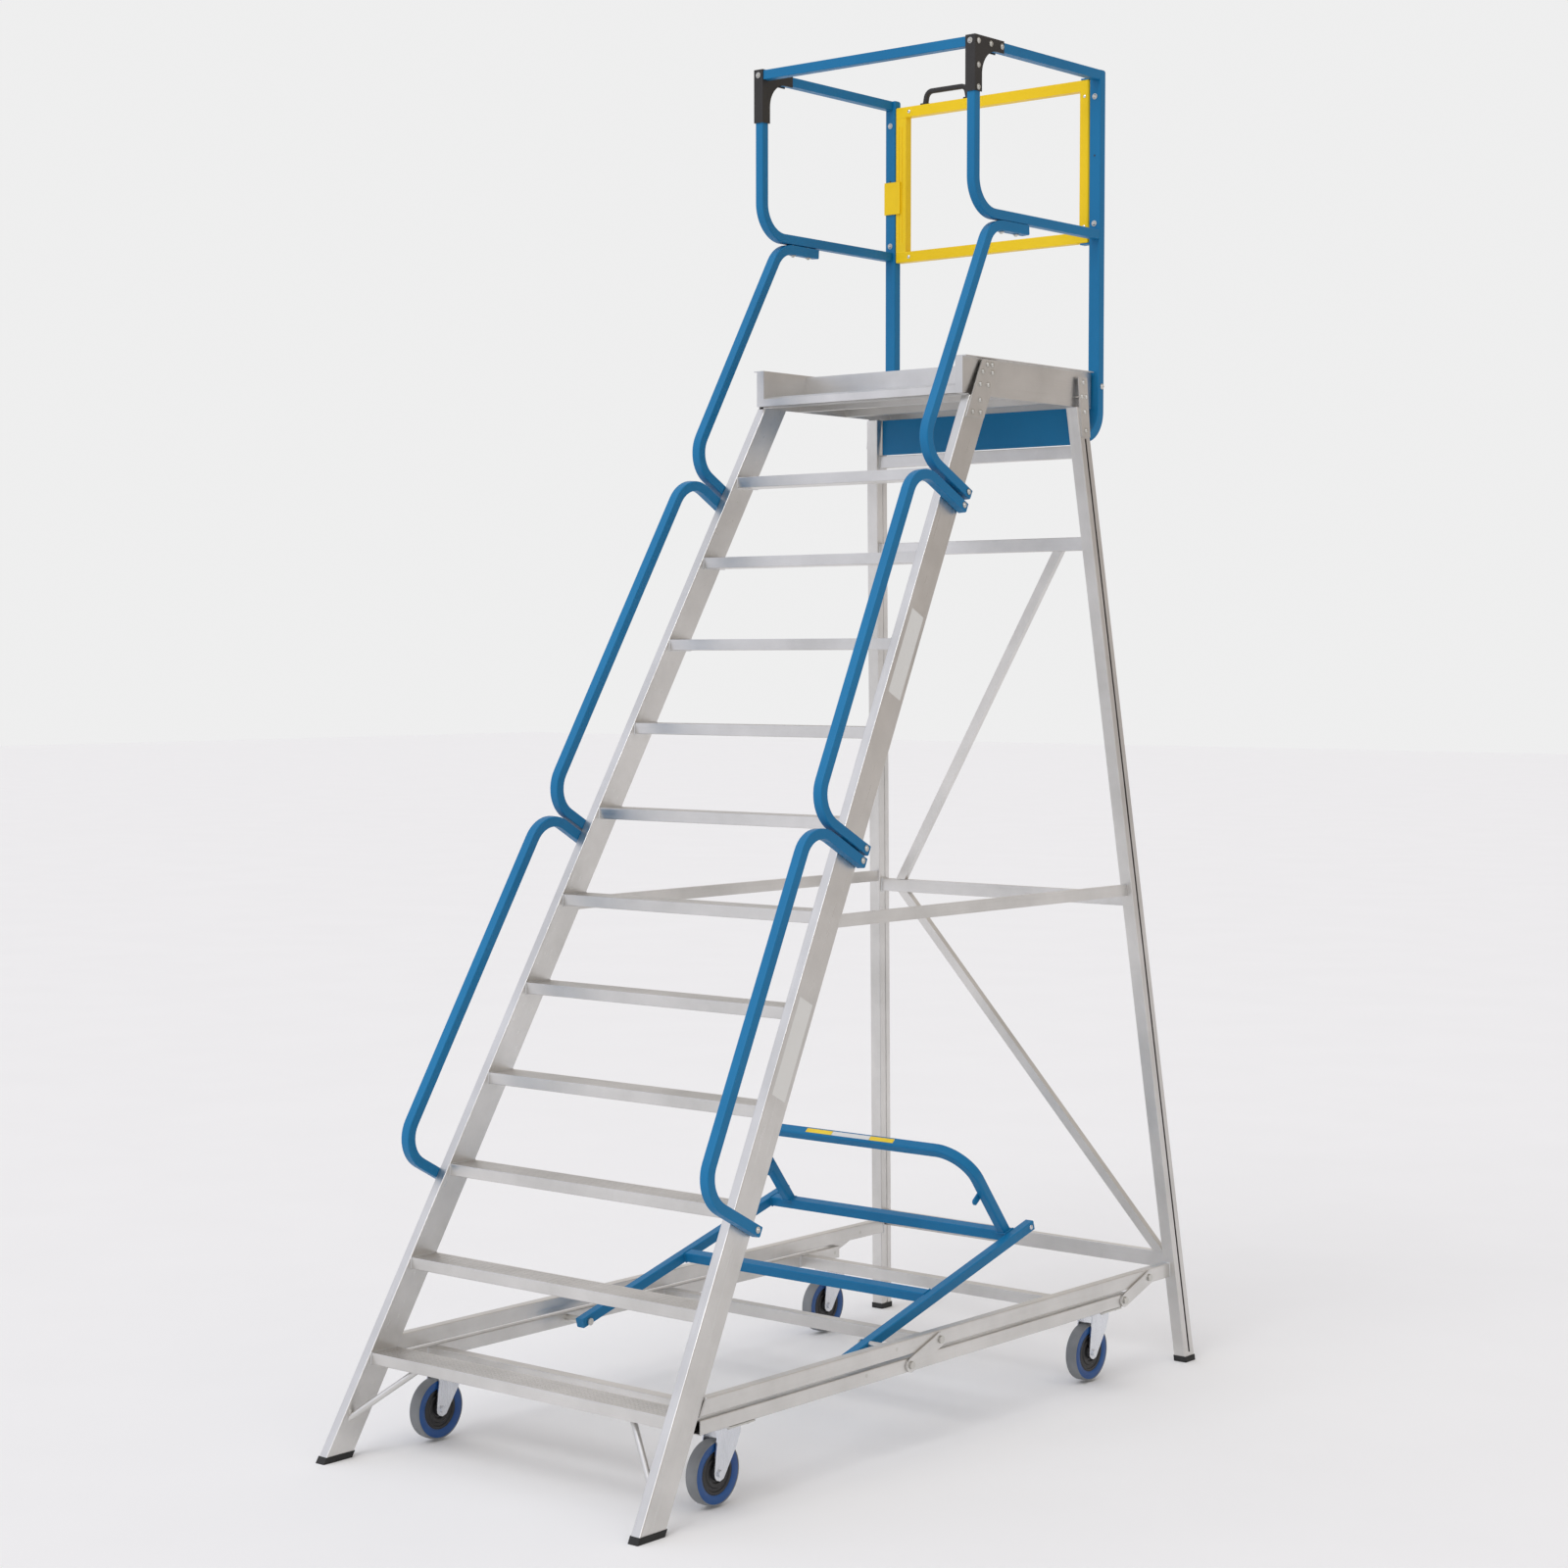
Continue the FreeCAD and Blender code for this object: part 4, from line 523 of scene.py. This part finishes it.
# ---------------------------------------------------------------- castor swivel seals
PIN_FROM_FRONT = 0.068        # king pin axis behind the front edge of the fork
for where in WHERE:
    low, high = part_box("castor_fork_" + where)
    axis_at = Vector(((low.x + high.x) / 2, low.y + PIN_FROM_FRONT, high.z))
    bm = bmesh.new()
    add_lathe(bm, [(0.0001, 0.0305), (0.0001, 0.0322), (0.0016, 0.0330), (0.0036, 0.0322), (0.0036, 0.0305)],
              axis_at, Z, 40)
    piece("swivel_seal_" + where, bm, "carriage", zinc)

# ---------------------------------------------------------------- camera, light, floor
BACKDROP = 0.86
camera_data = bpy.data.cameras.new("camera")
camera = bpy.data.objects.new("camera", camera_data)
bpy.context.scene.collection.objects.link(camera)
YAW, PITCH = math.radians(39.63), math.radians(-3.33)
forward = Vector((-math.sin(YAW) * math.cos(PITCH), math.cos(YAW) * math.cos(PITCH), math.sin(PITCH)))
camera.location = (5.5576, -6.7036, 2.2298)
camera.rotation_mode = "QUATERNION"
camera.rotation_quaternion = forward.to_track_quat("-Z", "Y")
camera_data.sensor_width = 36.0
camera_data.lens = 67.58
camera_data.shift_y = 0.03125
camera_data.clip_end = 200.0
bpy.context.scene.camera = camera

floor_mesh = bpy.data.meshes.new("floor")
bm = bmesh.new()
bmesh.ops.create_grid(bm, x_segments=1, y_segments=1, size=60.0)
bm.to_mesh(floor_mesh)
bm.free()
floor = bpy.data.objects.new("floor", floor_mesh)
bpy.context.scene.collection.objects.link(floor)
floor_shader = Shader("floor", Roughness=0.9)
floor_tone = floor_shader.noise(1.5, 3.0)
floor_shader.link(floor_shader.ramp(floor_tone, (0.875, 0.875, 0.875), (0.885, 0.885, 0.885)),
                  floor_shader.bsdf.inputs["Base Color"])
floor_mesh.materials.append(floor_shader.mat)

world = bpy.data.worlds.new("studio")
bpy.context.scene.world = world
world.use_nodes = True
tree = world.node_tree
background = tree.nodes["Background"]
direction = tree.nodes.new("ShaderNodeTexCoord").outputs["Generated"]
facing = tree.nodes.new("ShaderNodeVectorMath")
facing.operation = "DOT_PRODUCT"
facing.inputs[1].default_value = Vector((-0.62, -0.70, 0.35)).normalized()
tree.links.new(direction, facing.inputs[0])
spread = tree.nodes.new("ShaderNodeMapRange")
spread.inputs["From Min"].default_value = -0.9
spread.inputs["From Max"].default_value = 0.9
tree.links.new(facing.outputs["Value"], spread.inputs["Value"])
dome = tree.nodes.new("ShaderNodeValToRGB")
DOME = ((0.0, (0.50, 0.455, 0.42)), (0.43, (0.70, 0.66, 0.62)), (0.75, (0.72, 0.72, 0.76)),
        (1.0, (0.84, 0.86, 0.95)))
while len(dome.color_ramp.elements) < len(DOME):
    dome.color_ramp.elements.new(0.5)
for element, (position, colour) in zip(dome.color_ramp.elements, DOME):
    element.position = position
    element.color = colour + (1.0,)
tree.links.new(spread.outputs["Result"], dome.inputs["Fac"])
seen = tree.nodes.new("ShaderNodeMix")
seen.data_type = "RGBA"
seen.inputs["B"].default_value = (BACKDROP, BACKDROP, BACKDROP, 1.0)
tree.links.new(tree.nodes.new("ShaderNodeLightPath").outputs["Is Camera Ray"], seen.inputs["Factor"])
tree.links.new(dome.outputs["Color"], seen.inputs["A"])
tree.links.new(seen.outputs["Result"], background.inputs["Color"])

sun_data = bpy.data.lights.new("key", "SUN")
sun_data.energy = 1.0
sun_data.angle = math.radians(40)
sun = bpy.data.objects.new("key", sun_data)
bpy.context.scene.collection.objects.link(sun)
sun.rotation_mode = "QUATERNION"
sun.rotation_quaternion = Vector((-0.05, 0.62, -0.78)).to_track_quat("-Z", "Y")

bpy.context.scene.view_settings.view_transform = "Standard"
